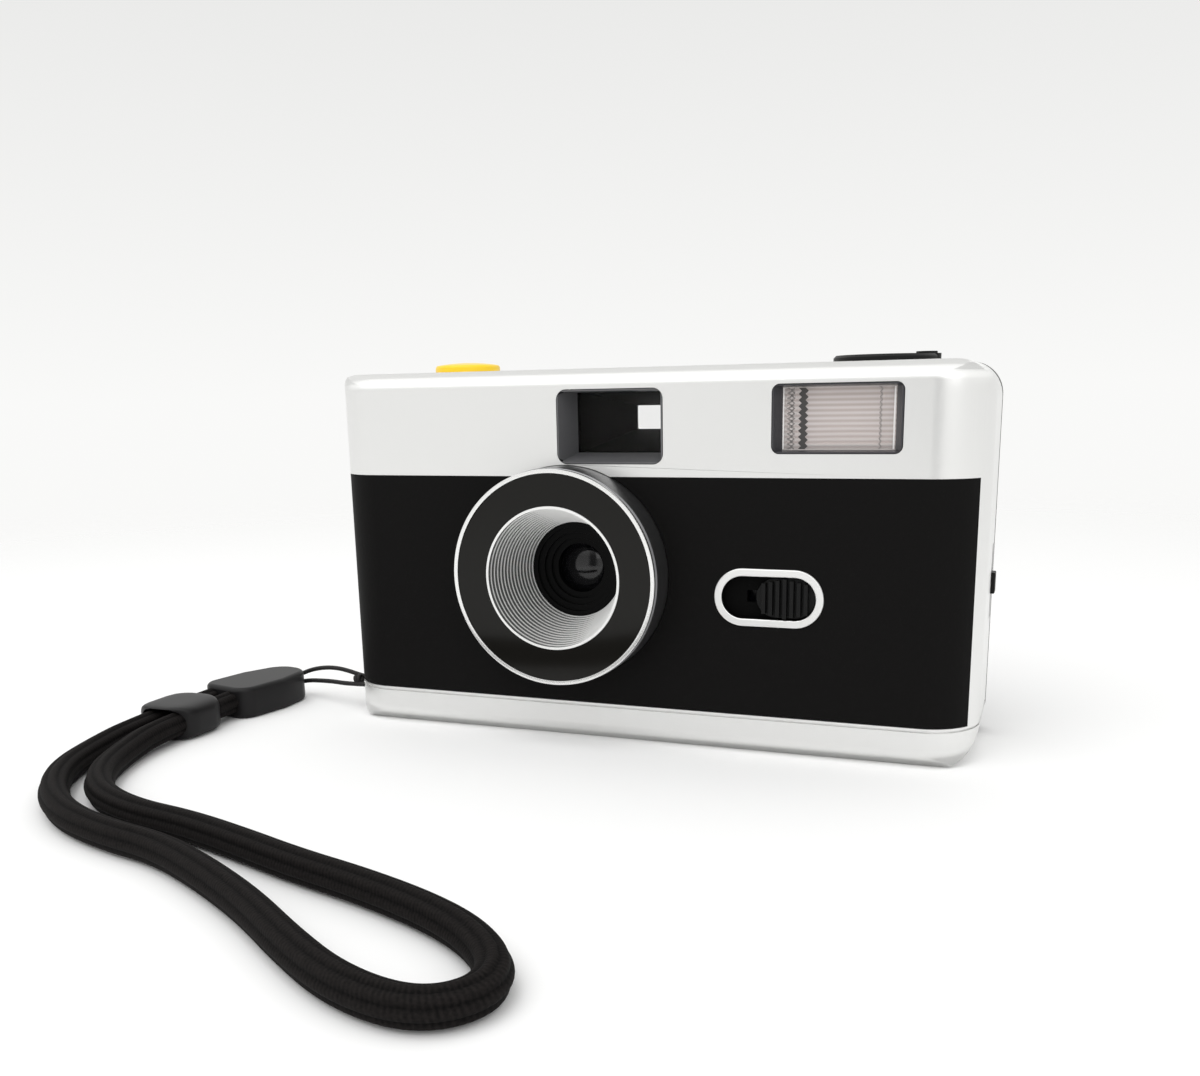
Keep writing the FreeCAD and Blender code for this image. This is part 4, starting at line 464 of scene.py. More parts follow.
def strap_weave():
    """Near-black yarn: fine stitches across each rib, out of step from rib to rib, some fuzz, and painted
    shade in the grooves.
    """
    finish = Finish("strap_weave")
    place = finish.node("ShaderNodeUVMap", {"uv_map": "cord_map"})
    across = finish.part(place, 0) * float(RIBS)
    cell = finish.maths("FLOOR", across)
    slant = finish.part(place, 1) * STITCHES + (across - cell) * STITCH_LEAN + cell * RIB_SHIFT
    stitch = finish.maths("SINE", slant * math.tau)
    fuzz = finish.noise(finish.object_place(), 2600.0, 3.0)
    rib = finish.maths("ABSOLUTE", finish.maths("COSINE", across * math.pi))
    height = stitch * 0.14 + fuzz + rib * 0.45 - 0.3
    bump = finish.bump(height, 0.45, 0.1)
    # The colour follows the height: random tone from the fuzz, and painted shade that darkens the grooves
    # between the ribs and the stitches.
    tone = finish.ranged(height, 0.1, 0.95, 0.0, 1.0)
    colour = finish.mixed(tone, (0.002, 0.0018, 0.0018), (0.014, 0.012, 0.0115))
    return finish.end(finish.principled(colour, 0.8, Normal=bump, gloss=0.08))


weave = strap_weave()
strap_cord = show("strap_cord", ribbed_tube(strap_line, STRAP_D / 2 * MM), weave, "camera", 60)
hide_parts("strap_loop")
print("strap skin:", len(strap_cord.data.polygons), "faces")

# %% [markdown]
# ## The thread and its knot
# A thin thread leaves the end cap, goes round the bar in the camera's recess and comes back. It is smooth
# and only 0.9 mm thick, so a spline with a round section is enough. Close to the camera it is tied: three
# small rings, each tilted another way and pushed together, read as a knot.

# %% The thread
THREAD_D = 0.9
BAR = (-56.6, -8.0)
BEND = 1.35 / math.cos(math.pi / 6)
thread_points = [
    (-78.2, -5.2, 4.2), (-77.3, -3.3, 4.6), (-74.8, -2.9, 5.6), (-71.0, -4.0, 6.5), (-67.2, -5.4, 7.0),
    (-63.8, -6.4, 6.9), (-60.6, -6.6, 6.2)]
for number, angle in enumerate((90, 30, -30, -90)):
    thread_points.append((BAR[0] + BEND * math.cos(math.radians(angle)),
                          BAR[1] + BEND * math.sin(math.radians(angle)), 5.5 - 0.1 * number))
thread_points += [
    (-60.6, -8.1, 4.7), (-63.8, -7.6, 4.5), (-67.4, -6.6, 4.4), (-71.2, -5.3, 4.0), (-74.9, -3.6, 3.4),
    (-77.1, -3.5, 3.0), (-78.2, -5.1, 2.9)]
thread_black = plain("thread_black", (0.012, 0.011, 0.011), 0.6, gloss=0.3)
thread_curve = spline_curve("strap_thread_line", thread_points)
thread_curve.bevel_depth = THREAD_D / 2 * MM
thread_curve.bevel_resolution = 4
thread_curve.use_fill_caps = True
thread_curve.materials.append(thread_black)
thread = new_object("strap_thread_line", thread_curve)
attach(thread, "camera")
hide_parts("strap_thread")
print("thread:", len(thread_points), "points")


# %% The knot
def ring_of_thread(bm, centre, radius, thickness, tilt):
    """A small ring: a circle of the thread's section, turned once about an axis."""
    upright = Matrix.Translation((radius * MM, 0, 0)) @ Matrix.Rotation(math.pi / 2, 4, "X")
    section = bmesh.ops.create_circle(bm, cap_ends=False, radius=thickness / 2 * MM, segments=10,
                                      matrix=upright)["verts"]
    edges = list({edge for vert in section for edge in vert.link_edges})
    bmesh.ops.spin(bm, geom=section + edges, cent=(0, 0, 0), axis=(0, 0, 1), angle=math.tau, steps=18,
                   use_merge=True)
    fresh = [vert for vert in bm.verts if not vert.tag]
    bmesh.ops.transform(bm, verts=fresh, matrix=Matrix.Translation(mm(*centre)) @ tilt)
    for vert in fresh:
        vert.tag = True


knot_bm = bmesh.new()
for centre, radius, degrees, axis in (((-60.3, -7.3, 5.6), 0.75, 80, "Y"), ((-61.0, -7.3, 5.4), 0.7, 60, "Y"),
                                      ((-60.6, -7.4, 5.4), 0.65, 35, "X")):
    ring_of_thread(knot_bm, centre, radius, 0.8, Matrix.Rotation(math.radians(degrees), 4, axis))
bmesh.ops.remove_doubles(knot_bm, verts=knot_bm.verts, dist=MERGE)
face_outwards(knot_bm)
knot = show("thread_knot", knot_bm, thread_black, "camera", 80)
print("knot:", len(knot.data.polygons), "faces")

# %% [markdown]
# ## Slider and end cap
# Both are moulded in black plastic with a faint satin sheen, and all their edges are round, so light runs
# along them in a soft line. The slider is a sleeve round both strands: a ring of points in the shape of a
# soft rectangle is drawn along the strands, narrower at both ends, and its ends are bridged to the hole.
# Its two ends are bowed outwards, as seen from above, so each ring's points lie further back at the sides.
# The end cap starts as a flat outline that is pulled up; its upright edges are rounded first, then the
# rims.

# %% Slider
strap_plastic = plain("strap_plastic", (0.008, 0.0075, 0.008), 0.42, gloss=0.2)
SLIDER_CENTRE = (-82.68, -34.1, 3.2)
SLIDER_HALF = (6.2, 3.2)
HOLE_REACH, HOLE_R = 2.525, 2.55
SLIDER_END = ((5.9, 0.885, 0.88), (5.6, 0.92, 0.95), (4.7, 0.96, 0.99), (3.0, 1.0, 1.0))
SLIDER_SECTIONS = [(-y, wide, high) for y, wide, high in SLIDER_END] + list(reversed(SLIDER_END))
END_BOW, SQUARENESS, SLIDER_SIDES = 0.35, 0.42, 64


def slider_piece():
    bm = bmesh.new()
    turn = bm.verts.layers.float.new("turn")

    def ring_at(ring, y, shape):
        for vert in ring:
            x, z = shape(math.cos(vert[turn]), math.sin(vert[turn]))
            vert.co = mm(*SLIDER_CENTRE) + mm(x, y * (1.0 - END_BOW * (x / SLIDER_HALF[0]) ** 2), z)

    def soft_rectangle(wide, high):
        def point(cosine, sine):
            return (math.copysign(abs(cosine) ** SQUARENESS, cosine) * SLIDER_HALF[0] * wide,
                    math.copysign(abs(sine) ** SQUARENESS, sine) * SLIDER_HALF[1] * high)
        return point

    def hole(cosine, sine):
        return (math.copysign(HOLE_REACH, cosine) + cosine * HOLE_R, sine * HOLE_R)

    def new_ring():
        made = bmesh.ops.create_circle(bm, cap_ends=False, radius=1.0, segments=SLIDER_SIDES)["verts"]
        for number, vert in enumerate(made):
            vert[turn] = (number + 0.5) / SLIDER_SIDES * math.tau
        return made

    rims = []
    for sections in (SLIDER_SECTIONS, (SLIDER_SECTIONS[0], SLIDER_SECTIONS[-1])):
        outer = sections is SLIDER_SECTIONS
        ring = new_ring()
        rims.append(ring)
        for number, (y, wide, high) in enumerate(sections):
            ring = pull_ring(bm, ring) if number else ring
            ring_at(ring, y, soft_rectangle(wide, high) if outer else hole)
        rims.append(ring)
    for outer_ring, inner_ring in ((rims[0], rims[2]), (rims[1], rims[3])):
        both = set(outer_ring) | set(inner_ring)
        edges = [edge for edge in bm.edges if edge.verts[0] in both and edge.verts[1] in both
                 and len(edge.link_faces) == 1]
        bmesh.ops.bridge_loops(bm, edges=edges)
    face_outwards(bm)
    piece = show("slider_sleeve", bm, strap_plastic, "strap_slider", 50)
    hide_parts("strap_slider")
    return piece


slider = slider_piece()
print("slider:", len(slider.data.polygons), "faces")

# %% End cap
CAP_CENTRE = (-80.3, -13.3)
CAP_TURN = math.radians(-11.5)
CAP_HALF_W, CAP_HALF_L, CAP_TIP, CAP_H = 6.3, 9.75, 4.0, 6.2
CAP_TAPER_Y, CAP_CORNER_R, CAP_RIM_R = 1.0, 3.3, 0.9


def end_cap_piece():
    bm = bmesh.new()
    right_side = [(CAP_HALF_W, -CAP_HALF_L), (CAP_HALF_W, CAP_TAPER_Y), (CAP_TIP, CAP_HALF_L)]
    outline = right_side + [(-x, y) for x, y in reversed(right_side)]
    base = bm.faces.new([bm.verts.new(mm(x, y, 0.0)) for x, y in outline])
    top = verts_of(bmesh.ops.extrude_face_region(bm, geom=[base]))
    bmesh.ops.translate(bm, verts=top, vec=mm(0, 0, CAP_H))
    face_outwards(bm)
    uprights = round_edges(bm, lambda edge: abs((edge.verts[0].co - edge.verts[1].co).z) > 5 * MM
                           and abs(middle(edge).y - CAP_TAPER_Y) > 0.1, CAP_CORNER_R, 6)
    rims = round_edges(bm, lambda edge: turn_of(edge) > 60 and not 0.01 < middle(edge).z < CAP_H - 0.01,
                       CAP_RIM_R, 4, clamp=False)
    bmesh.ops.transform(bm, verts=bm.verts, matrix=Matrix.Translation(mm(*CAP_CENTRE, 0.0))
                        @ Matrix.Rotation(CAP_TURN, 4, "Z"))
    piece = show("end_cap_soft", bm, strap_plastic, "camera", 50)
    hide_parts("strap_end_cap")
    return uprights, rims


print("end cap: %d upright edges, %d rim edges" % end_cap_piece())

# %% [markdown]
# ## The silver cover
# The cover is moulded plastic under a satin silver lacquer: half metal, half paint, with fine flakes that
# make the gloss a little uneven. The long edges above and below the front are round, and the rims of the
# openings are crisp. The CAD model has a plain slope along those long edges. Little new geometry is needed
# to make it look round: a few cuts give the slope and the corners more points, and at each point the
# normal is worked out from its place, as if one smooth round ran along the whole edge. Only the shading
# changes; the outline stays that of the CAD model. Lacquer is sprayed from outside only, so the faces
# below the outer skin keep the black of the plastic.


# %% Satin silver
def satin_silver():
    finish = Finish("satin_silver")
    flakes = finish.noise(finish.object_place(), 4200.0, 2.0)
    rough = finish.ranged(flakes, 0.3, 0.7, 0.30, 0.40)
    bump = finish.bump(flakes, 0.12, 0.02)
    return finish.end(finish.principled((0.80, 0.80, 0.79), rough, Metallic=0.75, Normal=bump))


silver = satin_silver()
print("satin silver ready")


# %% The cover's edges
# Sizes in millimetres. SKIN and LACQUER are depths below the outer skin, and SLOPE_Y and SLOPE_DEPTH bound
# the sloping edges. The front is silver above BAND_LOW.
HALF_W, HIGH, FRONT_Y = 58.5, 64.8, -15.0
CORNER_R, SIDE_R, SLOPE = 9.0, 6.0, 3.0
CORNER_X = HALF_W - CORNER_R
CORNER_Y = FRONT_Y + CORNER_R
BAND_LOW = 47.5
SKIN, LACQUER = 0.3, 0.8
SLOPE_Y, SLOPE_DEPTH = -12.5, 2.3


def round_field(place, polygon):
    """The normal of the outer skin at a place; nothing for faces that aren't on the skin."""
    x, y, z = place / MM
    beside = abs(x) - CORNER_X
    ahead = CORNER_Y - y
    if beside > 0 and ahead > 0:
        share = math.atan2(beside, ahead) / (math.pi / 2)
    else:
        share = 1.0 if beside > 0 else 0.0
    plan = Vector((math.copysign(math.sin(share * math.pi / 2), x), -math.cos(share * math.pi / 2), 0.0))
    depth = min(z, HIGH - z)
    front_tilt = min(max(1.0 - depth / SLOPE, 0.0), 1.0) * math.pi / 2
    side_tilt = math.asin(min(max(1.0 - depth / SIDE_R, 0.0), 1.0))
    tilt = front_tilt * (1.0 - share) + side_tilt * share
    normal = plan * math.cos(tilt) + Vector((0, 0, math.copysign(math.sin(tilt), z - HIGH / 2)))
    deep = (beside if ahead < 0 else math.hypot(max(beside, 0.0), ahead)) < CORNER_R - SKIN
    inside = deep and SKIN < z < HIGH - SKIN and (y > FRONT_Y + SLOPE or SLOPE < z < HIGH - SLOPE)
    return None if inside or polygon.normal.dot(normal) < 0.3 else normal


def below_skin(place, normal):
    """Whether a place in millimetres lies deeper below the cover's outer skin than lacquer gets."""
    x, y, z = place
    depth = min(z, HIGH - z)
    in_plan = math.hypot(max(abs(x) - CORNER_X, 0.0), max(CORNER_Y - y, 0.0)) < CORNER_R - LACQUER
    from_front = math.hypot(max(abs(x) - HALF_W + SIDE_R, 0.0), max(SIDE_R - depth, 0.0)) < SIDE_R - LACQUER
    return in_plan and from_front and (y > SLOPE_Y or depth > SLOPE_DEPTH)


def is_rim(edge):
    """Square edges of the openings in the silver band and in the top."""
    place = middle(edge)
    in_band = place.y < FRONT_Y + 0.05 and place.z > BAND_LOW
    return 70 < turn_of(edge) < 110 and (in_band or place.z > HIGH - 0.05)


def cover_piece():
    bm = merged_copy("front_cover")
    rims = round_edges(bm, is_rim, 0.12, 3)
    levels = [SLOPE * share for share in (0.25, 0.5, 0.75, 1.0)] + [3.8, 4.9]
    cuts = [((0, 0, level), (0, 0, 1)) for level in levels + [HIGH - level for level in levels]]
    for side in (-1, 1):
        cuts += [((side * (CORNER_X + 1.5 * step), 0, 0), (1, 0, 0)) for step in range(6)]
    for place, normal in cuts:
        everything = bm.verts[:] + bm.edges[:] + bm.faces[:]
        bmesh.ops.bisect_plane(bm, geom=everything, dist=MERGE, plane_co=mm(*place), plane_no=normal)
    piece = show("silver_cover", bm, silver, "camera", 35, round_field)
    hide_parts("front_cover")
    second_finish(piece, plain("bare_plastic", (0.012, 0.012, 0.012), 0.5, gloss=0.2), below_skin)
    return piece, rims


cover, rim_count = cover_piece()
print("cover: %d rims, %d faces" % (rim_count, len(cover.data.polygons)))

# %% [markdown]
# ## The black panel
# A thin black skin lies in a shallow recess across the front and round both corners. It is matt, with a
# very fine grain like that of leatherette. A bump made of a fine noise and of somewhat larger cells gives
# that grain without any extra geometry.


# %% Fine black grain
def grained_black(name, level, roughness, scale, strength, gloss):
    """Matt black with a fine grain: its level, its gloss and how fine and deep the grain is."""
    finish = Finish(name)
    place = finish.object_place()
    pores = finish.node("ShaderNodeTexVoronoi", {}, {"Vector": place, "Scale": scale * 0.55}, "Distance")
    bump = finish.bump(finish.noise(place, scale, 3.0) * 0.6 + pores * 0.7, strength, 0.06)
    colour = (level, level * 0.94, level * 0.92)
    return finish.end(finish.principled(colour, roughness, gloss, Normal=bump))


panel_black = grained_black("panel_black", 0.0045, 0.6, 2400.0, 0.35, 0.07)
shell_black = grained_black("shell_black", 0.010, 0.5, 3600.0, 0.25, 0.2)
soft_copy("front_panel", panel_black, 0.12, 2, 60)
soft_copy("rear_frame", shell_black, 0.2, 2, 60, lambda place: place.y > 14.8)
print("panel and rear shell ready")

# %% [markdown]
# ## The lens barrel and its rings
# Everything round the lens axis was turned or moulded round, so it is turned here as well: an outline in
# the plane of the axis, spun once round. The barrel is satin metal and reflects the black panel beside
# it. In front of it lie a bright ring with a thin groove behind it, and the gloss black face plate.

# %% Barrel, bright ring and face plate
bright_ring = plain("bright_ring", (0.86, 0.86, 0.85), 0.22, 1.0)
barrel_metal = plain("barrel_metal", (0.20, 0.20, 0.205), 0.3, 0.9)
face_black = plain("face_black", (0.008, 0.0075, 0.0065), 0.1, gloss=0.18)
barrel = turned("barrel_turned", "lens_barrel", [
    (12.38, -21.1), (18.27, -21.1), (18.67, -20.7), (18.67, -14.35), (18.62, -14.3), (18.62, -14.0),
    (16.4, -14.0), (16.4, -11.8), (15.2, -11.8), (15.2, -15.2), (17.37, -15.2), (17.37, -19.9),
    (12.38, -19.9)], barrel_metal, round_by=0.05)
ring = turned("bright_ring_turned", "lens_trim_ring", [
    (17.85, -21.1), (18.1, -21.1), (18.1, -21.35), (18.57, -21.35), (18.57, -22.0), (17.85, -22.0)],
    bright_ring, round_by=0.1)
face_plate = turned("face_plate_turned", "lens_face_plate", [
    (17.8, -21.9), (12.38, -21.9), (12.38, -21.1), (17.8, -21.1)], face_black, round_by=0.08)
print("rings:", barrel.name, ring.name, face_plate.name)

# %% [markdown]
# ## The ribbed cone
# Inside the face plate a silver funnel leads to the lens in fourteen fine steps. They break up stray
# reflections, and from the side they look like a fan of bright crescents. A bump map would not shade one
# step against the next, so each step is really there. The narrow faces that look to the front catch the
# light and are bright. The faces between them, which look towards the axis, get a dark finish by the
# direction of each face: painted shade, for the shade that falls between the steps.

# %% Cone
STEPS = 14
MOUTH_R, END_R = 11.9, 8.5
FACE_Y, CONE_END_Y = -21.9, -10.5
tread = (CONE_END_Y - FACE_Y) / STEPS
rise = (MOUTH_R - END_R) / STEPS
cone_outline = [(12.33, FACE_Y), (MOUTH_R, FACE_Y)]
for number in range(1, STEPS + 1):
    cone_outline.append((MOUTH_R - rise * (number - 1), FACE_Y + tread * number))
    cone_outline.append((MOUTH_R - rise * number, FACE_Y + tread * number))
cone_outline += [(END_R, -9.7), (9.6, -9.7), (9.9, CONE_END_Y), (11.98, -19.05), (13.18, -19.05),
                 (13.18, -19.85), (12.33, -19.85)]
cone_silver = plain("cone_silver", (0.86, 0.86, 0.85), 0.4, 0.4)
cone_painted_shade = plain("cone_painted_shade", (0.045, 0.045, 0.045), 0.35, 0.5)
cone = turned("ribbed_cone", "lens_cone", cone_outline, cone_silver, steps=160)


# Painted shade: the faces that look towards the axis get the dark finish.
def is_riser(place, normal):
    """The faces inside the mouth that look towards the axis."""
    return abs(normal.y) < 0.3 and math.hypot(place.x - LENS_X, place.z - LENS_Z) < MOUTH_R + 0.05


shaded = second_finish(cone, cone_painted_shade, is_riser)
print("cone: %.2f mm deep and %.2f mm high steps, %d faces, %d of them shaded"
      % (tread, rise, len(cone.data.polygons), shaded))

# %% [markdown]
# ## The lens
# The black holder steps down to a small front lens. The lens is turned again from an arc, because its
# reflection shows every facet of a coarse mesh. Real glass bends light, but in such a deep dark tube
# that only adds noise. So the glass is mixed from two simple parts: a dark clear one that lets the tube
# be seen, and a glossy skin that mirrors the studio.

# %% Holder and glass
inner_black = plain("inner_black", (0.004, 0.004, 0.004), 0.5, gloss=0.1)
soft_copy("lens_holder", inner_black, 0.08, 2, 40)


def tinted_glass():
    """Glass that doesn't bend light: part see-through, part glossy skin."""
    finish = Finish("lens_glass")
    skin = finish.principled((0.008, 0.008, 0.009), 0.1, gloss=0.8)
    return finish.end(finish.between(0.6, finish.transparent((0.3, 0.3, 0.32)), skin))


lens_glass = tinted_glass()
glass_low, glass_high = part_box("front_lens")
GLASS_R = (glass_high.x - glass_low.x) / 2 / MM
GLASS_BALL, GLASS_STEPS = 9.0, 12
glass_outline = []
for number in range(GLASS_STEPS + 1):
    radius = GLASS_R * number / GLASS_STEPS
    sag = GLASS_BALL - math.sqrt(GLASS_BALL ** 2 - radius ** 2)
    glass_outline.append((radius, glass_low.y / MM + sag))
glass_outline += [(GLASS_R, glass_high.y / MM), (0.0, glass_high.y / MM)]
front_glass = turned("front_lens_turned", "front_lens", glass_outline, lens_glass, steps=96, closed=False)
clear_plastic = plain("clear_plastic", (0.94, 0.94, 0.94), 0.02, IOR=1.15, Transmission_Weight=1.0)
print("front lens: %.1f mm across, %d faces" % (2 * GLASS_R, len(front_glass.data.polygons)))

# %% [markdown]
# ## Viewfinder
# The viewfinder is a recess with flaring dark-grey walls, a clear window at its bottom and a dark tunnel
# to the eyepiece, through which the bright background shows as a small white square. Its pieces keep
# their CAD shape. What matters here is tone: the walls are lighter than the tunnel behind the window.

# %% Viewfinder
finder_grey = plain("finder_grey", (0.11, 0.11, 0.115), 0.45, gloss=0.4)
tunnel_black = plain("tunnel_black", (0.003, 0.0028, 0.0025), 0.7, gloss=0.04)
print("viewfinder ready")

# %% [markdown]
# ## The flash
# The flash window is a clear plate. Its back is moulded with level ribs that spread the light, and they
# draw the fine lines across the bright reflector behind; a painted shade along each rib, in the plate's
# colour, darkens these lines. The back of the plate is made as a fine grid whose alternate rows are
# pulled in, and the grid is then extruded to the flat front. Columns of small prisms and two bright edges
# stand at its ends. Each is a narrow grid just in front of the plate, and every second row of a prism
# column is pushed sideways. The prisms' dark and grey tones are painted shade, and the bright edges are
# painted highlights.

# %% Ribbed flash window
FLASH_RIBS = 12
RIB_HEIGHT = 0.22
window_low, window_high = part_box("flash_window")
window_middle = (window_low + window_high) / 2
window_size = window_high - window_low


def upright_grid(bm, x, y, width, height, waves):
    """A grid that faces the front. Returns its points in two lists: the even rows, then the odd ones."""
    grid = bmesh.ops.create_grid(bm, x_segments=1, y_segments=waves * 2, size=0.5)["verts"]
    stand = Matrix.Translation((x, y, window_middle.z)) @ Matrix.Diagonal((width, 1.0, height, 1.0))
    bmesh.ops.transform(bm, verts=grid, matrix=stand @ Matrix.Rotation(math.pi / 2, 4, "X"))
    low = min(vert.co.z for vert in grid)
    pitch = height / (waves * 2)
    return [[vert for vert in grid if round((vert.co.z - low) / pitch) % 2 == odd] for odd in (0, 1)]


def ribbed_window():
    bm = bmesh.new()
    valleys = upright_grid(bm, window_middle.x, window_high.y, window_size.x, window_size.z, FLASH_RIBS)[0]
    bmesh.ops.translate(bm, verts=valleys, vec=mm(0, -RIB_HEIGHT, 0))
    front = verts_of(bmesh.ops.extrude_face_region(bm, geom=list(bm.faces)))
    flatten = Matrix.Translation((0, window_low.y, 0)) @ Matrix.Diagonal((1.0, 0.0, 1.0, 1.0))
    bmesh.ops.transform(bm, verts=front, matrix=flatten)
    face_outwards(bm)
    return bm


def flash_plastic():
    """Clear plastic made milky by its ribs: part see-through, part pale, with a painted line of shade along
    each rib.
    """
    finish = Finish("flash_plastic")
    height = finish.part(finish.object_place(), 2) - window_low.z
    # Painted shade: a darker line in the colour along each rib.
    wave = finish.maths("COSINE", height * (math.tau * FLASH_RIBS / window_size.z))
    colour = finish.mixed(finish.ranged(wave, -1.0, 1.0, 0.0, 1.0), (0.74, 0.67, 0.65), (0.98, 0.94, 0.925))
    pale = finish.principled(colour, 0.18, gloss=0.6)
    edge_on = finish.node("ShaderNodeLayerWeight", {}, {"Blend": 0.35}, "Facing")
    share = finish.ranged(edge_on, 0.0, 1.0, 0.4, 0.85)
    return finish.end(finish.between(share, finish.transparent((0.97, 0.94, 0.93)), pale))


flash_clear = flash_plastic()
flash_window = show("flash_window_ribbed", ribbed_window(), flash_clear, "camera", 20)
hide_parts("flash_window")
print("flash window: %d faces" % len(flash_window.data.polygons))


# %% Prism columns
PRISM_HEIGHT = window_size.z * 0.97
PRISM_LIFT = 0.02


def prism_column(left, width, teeth, lean):
    """A narrow upright ribbon whose points lean to and fro."""
    bm = bmesh.new()
    x = window_low.x + (left + width / 2) * MM
    points = upright_grid(bm, x, window_low.y - PRISM_LIFT * MM, width * MM, PRISM_HEIGHT, teeth)[1]
    bmesh.ops.translate(bm, verts=points, vec=mm(lean, 0, 0))
    return bm


# Painted shade and highlight: the prism ribbons are dark and grey where the prisms throw shade, and the two
# pale edges are painted highlights.
prism_dark_shade = plain("prism_dark_shade", (0.045, 0.042, 0.04), 0.3)
prism_grey_shade = plain("prism_grey_shade", (0.20, 0.185, 0.18), 0.3)
edge_highlight = plain("edge_highlight", (0.85, 0.83, 0.82), 0.3)
prism_rows = (
    (prism_dark_shade, 2.9, 1.1, 10, 0.5),
    (prism_grey_shade, 1.0, 0.45, 12, 0.75),
    (prism_grey_shade, 2.1, 0.3, 12, -0.5),
    (prism_grey_shade, 15.6, 0.2, 12, 0.35),
    (edge_highlight, 0.4, 0.2, 1, 0.0),
    (edge_highlight, window_size.x / MM - 0.75, 0.25, 1, 0.0))
for number, (tone, *place) in enumerate(prism_rows):
    show("flash_prisms_%d" % number, prism_column(*place), tone, "camera")
print("prism columns:", len(prism_rows))

# %% Flash frame, reflector and tube
flash_frame_black = plain("flash_frame_black", (0.035, 0.035, 0.04), 0.3, gloss=0.45)
reflector_bright = plain("reflector_bright", (0.84, 0.78, 0.76), 0.35, 0.3)
tube_glass = plain("tube_glass", (0.95, 0.95, 0.95), 0.05, IOR=1.2, Transmission_Weight=0.8)
print("flash frame ready")

# %% [markdown]
# ## The flash switch
# A silver oval rim frames a dark slot, and a black knob with seven upright ribs slides in it. The rim is
# a copy with a round edge, and the ribs get a small bevel that shows each one as a fine line.

# %% Switch
SWITCH_X, SWITCH_Z = 24.65, 27.1
SLOT_HALF = 18.4 / 2 - 1.3 - 7.1 / 2
SLOT_R, RIM_Y = 3.6, -15.3
rim_silver = plain("rim_silver", (0.84, 0.84, 0.83), 0.3, 0.7)
well_black = plain("well_black", (0.003, 0.003, 0.003), 0.5, gloss=0.03)


def in_slot(place, normal):
    """The faces of the bezel inside its slot, which are black."""
    reach = math.hypot(max(abs(place.x - SWITCH_X) - SLOT_HALF, 0.0), place.z - SWITCH_Z)
    return reach < SLOT_R and place.y > RIM_Y


switch_bezel = soft_copy("switch_bezel", rim_silver, 0.22, 3, 50, lambda place: place.y < RIM_Y)
second_finish(switch_bezel, well_black, in_slot)
knob_black = plain("knob_black", (0.006, 0.006, 0.006), 0.45, gloss=0.16)
soft_copy("flash_switch", knob_black, 0.12, 2, 50, lambda place: place.y < -13.0)
print("switch ready")

# %% [markdown]
# ## Button, rewind knob and thumbwheel
# The shutter button is bright yellow plastic with a round top edge. The rewind knob at the other end is
# black, with a folding crank let into it. At the back a ribbed thumbwheel shows through a slot. It starts
# as a flat disc of many points. Some of them are pulled in, which leaves the ribs between them, and the
# disc is then extruded to its height.

# %% Button and rewind knob
button_yellow = plain("button_yellow", (0.93, 0.62, 0.02), 0.3, gloss=0.4)
soft_copy("shutter_button", button_yellow, 0.5, 4, 30, lambda place: place.z > 64.9)
soft_copy("rewind_knob", knob_black, 0.25, 3, 50, lambda place: place.z > 65.3)
soft_copy("rewind_crank", knob_black, 0.2, 3, 50, lambda place: place.z > 65.0)
print("top controls ready")


# %% Ribbed thumbwheel
WHEEL_RIBS = 60
WHEEL_R, GROOVE = 13.2, 0.45
WHEEL_FOOT, WHEEL_H = (-42.5, 2.5, 52.3), 4.0


def ribbed_wheel():
    bm = bmesh.new()
    made = bmesh.ops.create_circle(bm, cap_ends=True, radius=WHEEL_R * MM, segments=WHEEL_RIBS * 4)["verts"]
    for vert in made:
        share = math.atan2(vert.co.y, vert.co.x) / math.tau * WHEEL_RIBS % 1.0
        if share < 0.3 or share > 0.95:
            vert.co *= (WHEEL_R - GROOVE) / WHEEL_R
    bmesh.ops.translate(bm, verts=made, vec=mm(*WHEEL_FOOT))
    top = verts_of(bmesh.ops.extrude_face_region(bm, geom=list(bm.faces)))
    bmesh.ops.translate(bm, verts=top, vec=mm(0, 0, WHEEL_H))
    face_outwards(bm)
    round_edges(bm, lambda edge: abs(edge.verts[0].co.z - edge.verts[1].co.z) < MERGE, 0.35, 2)
    return bm


wheel = show("thumbwheel_ribbed", ribbed_wheel(), knob_black, "take_up", 35)
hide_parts("thumbwheel")
print("thumbwheel:", len(wheel.data.polygons), "faces")

# %% [markdown]
# ## The back
# The hinged back, the battery door and the latch are of the same matt black as the rear shell. They get
# soft edges only where a hand or the light finds them.

# %% Back door, battery door and latch
soft_copy("rear_door", shell_black, 0.25, 2, 60, lambda place: place.y > 14.9)
soft_copy("battery_door", shell_black, 0.2, 2, 60, lambda place: place.z < 0.4)
soft_copy("door_latch", knob_black, 0.2, 2, 50, lambda place: place.x > 58.0)
soft_copy("rewind_release", knob_black, 0.2, 2, 50, lambda place: place.z < 0.7)
print("back pieces ready")

# %% [markdown]
# ## Numbers of the frame counter
# A white disc under a small window in the top counts the pictures. Plain numbers stand round it. Each is
# a text object turned into a mesh, and the mesh is then moved to its place, face up, with its foot
# towards the middle of the disc.

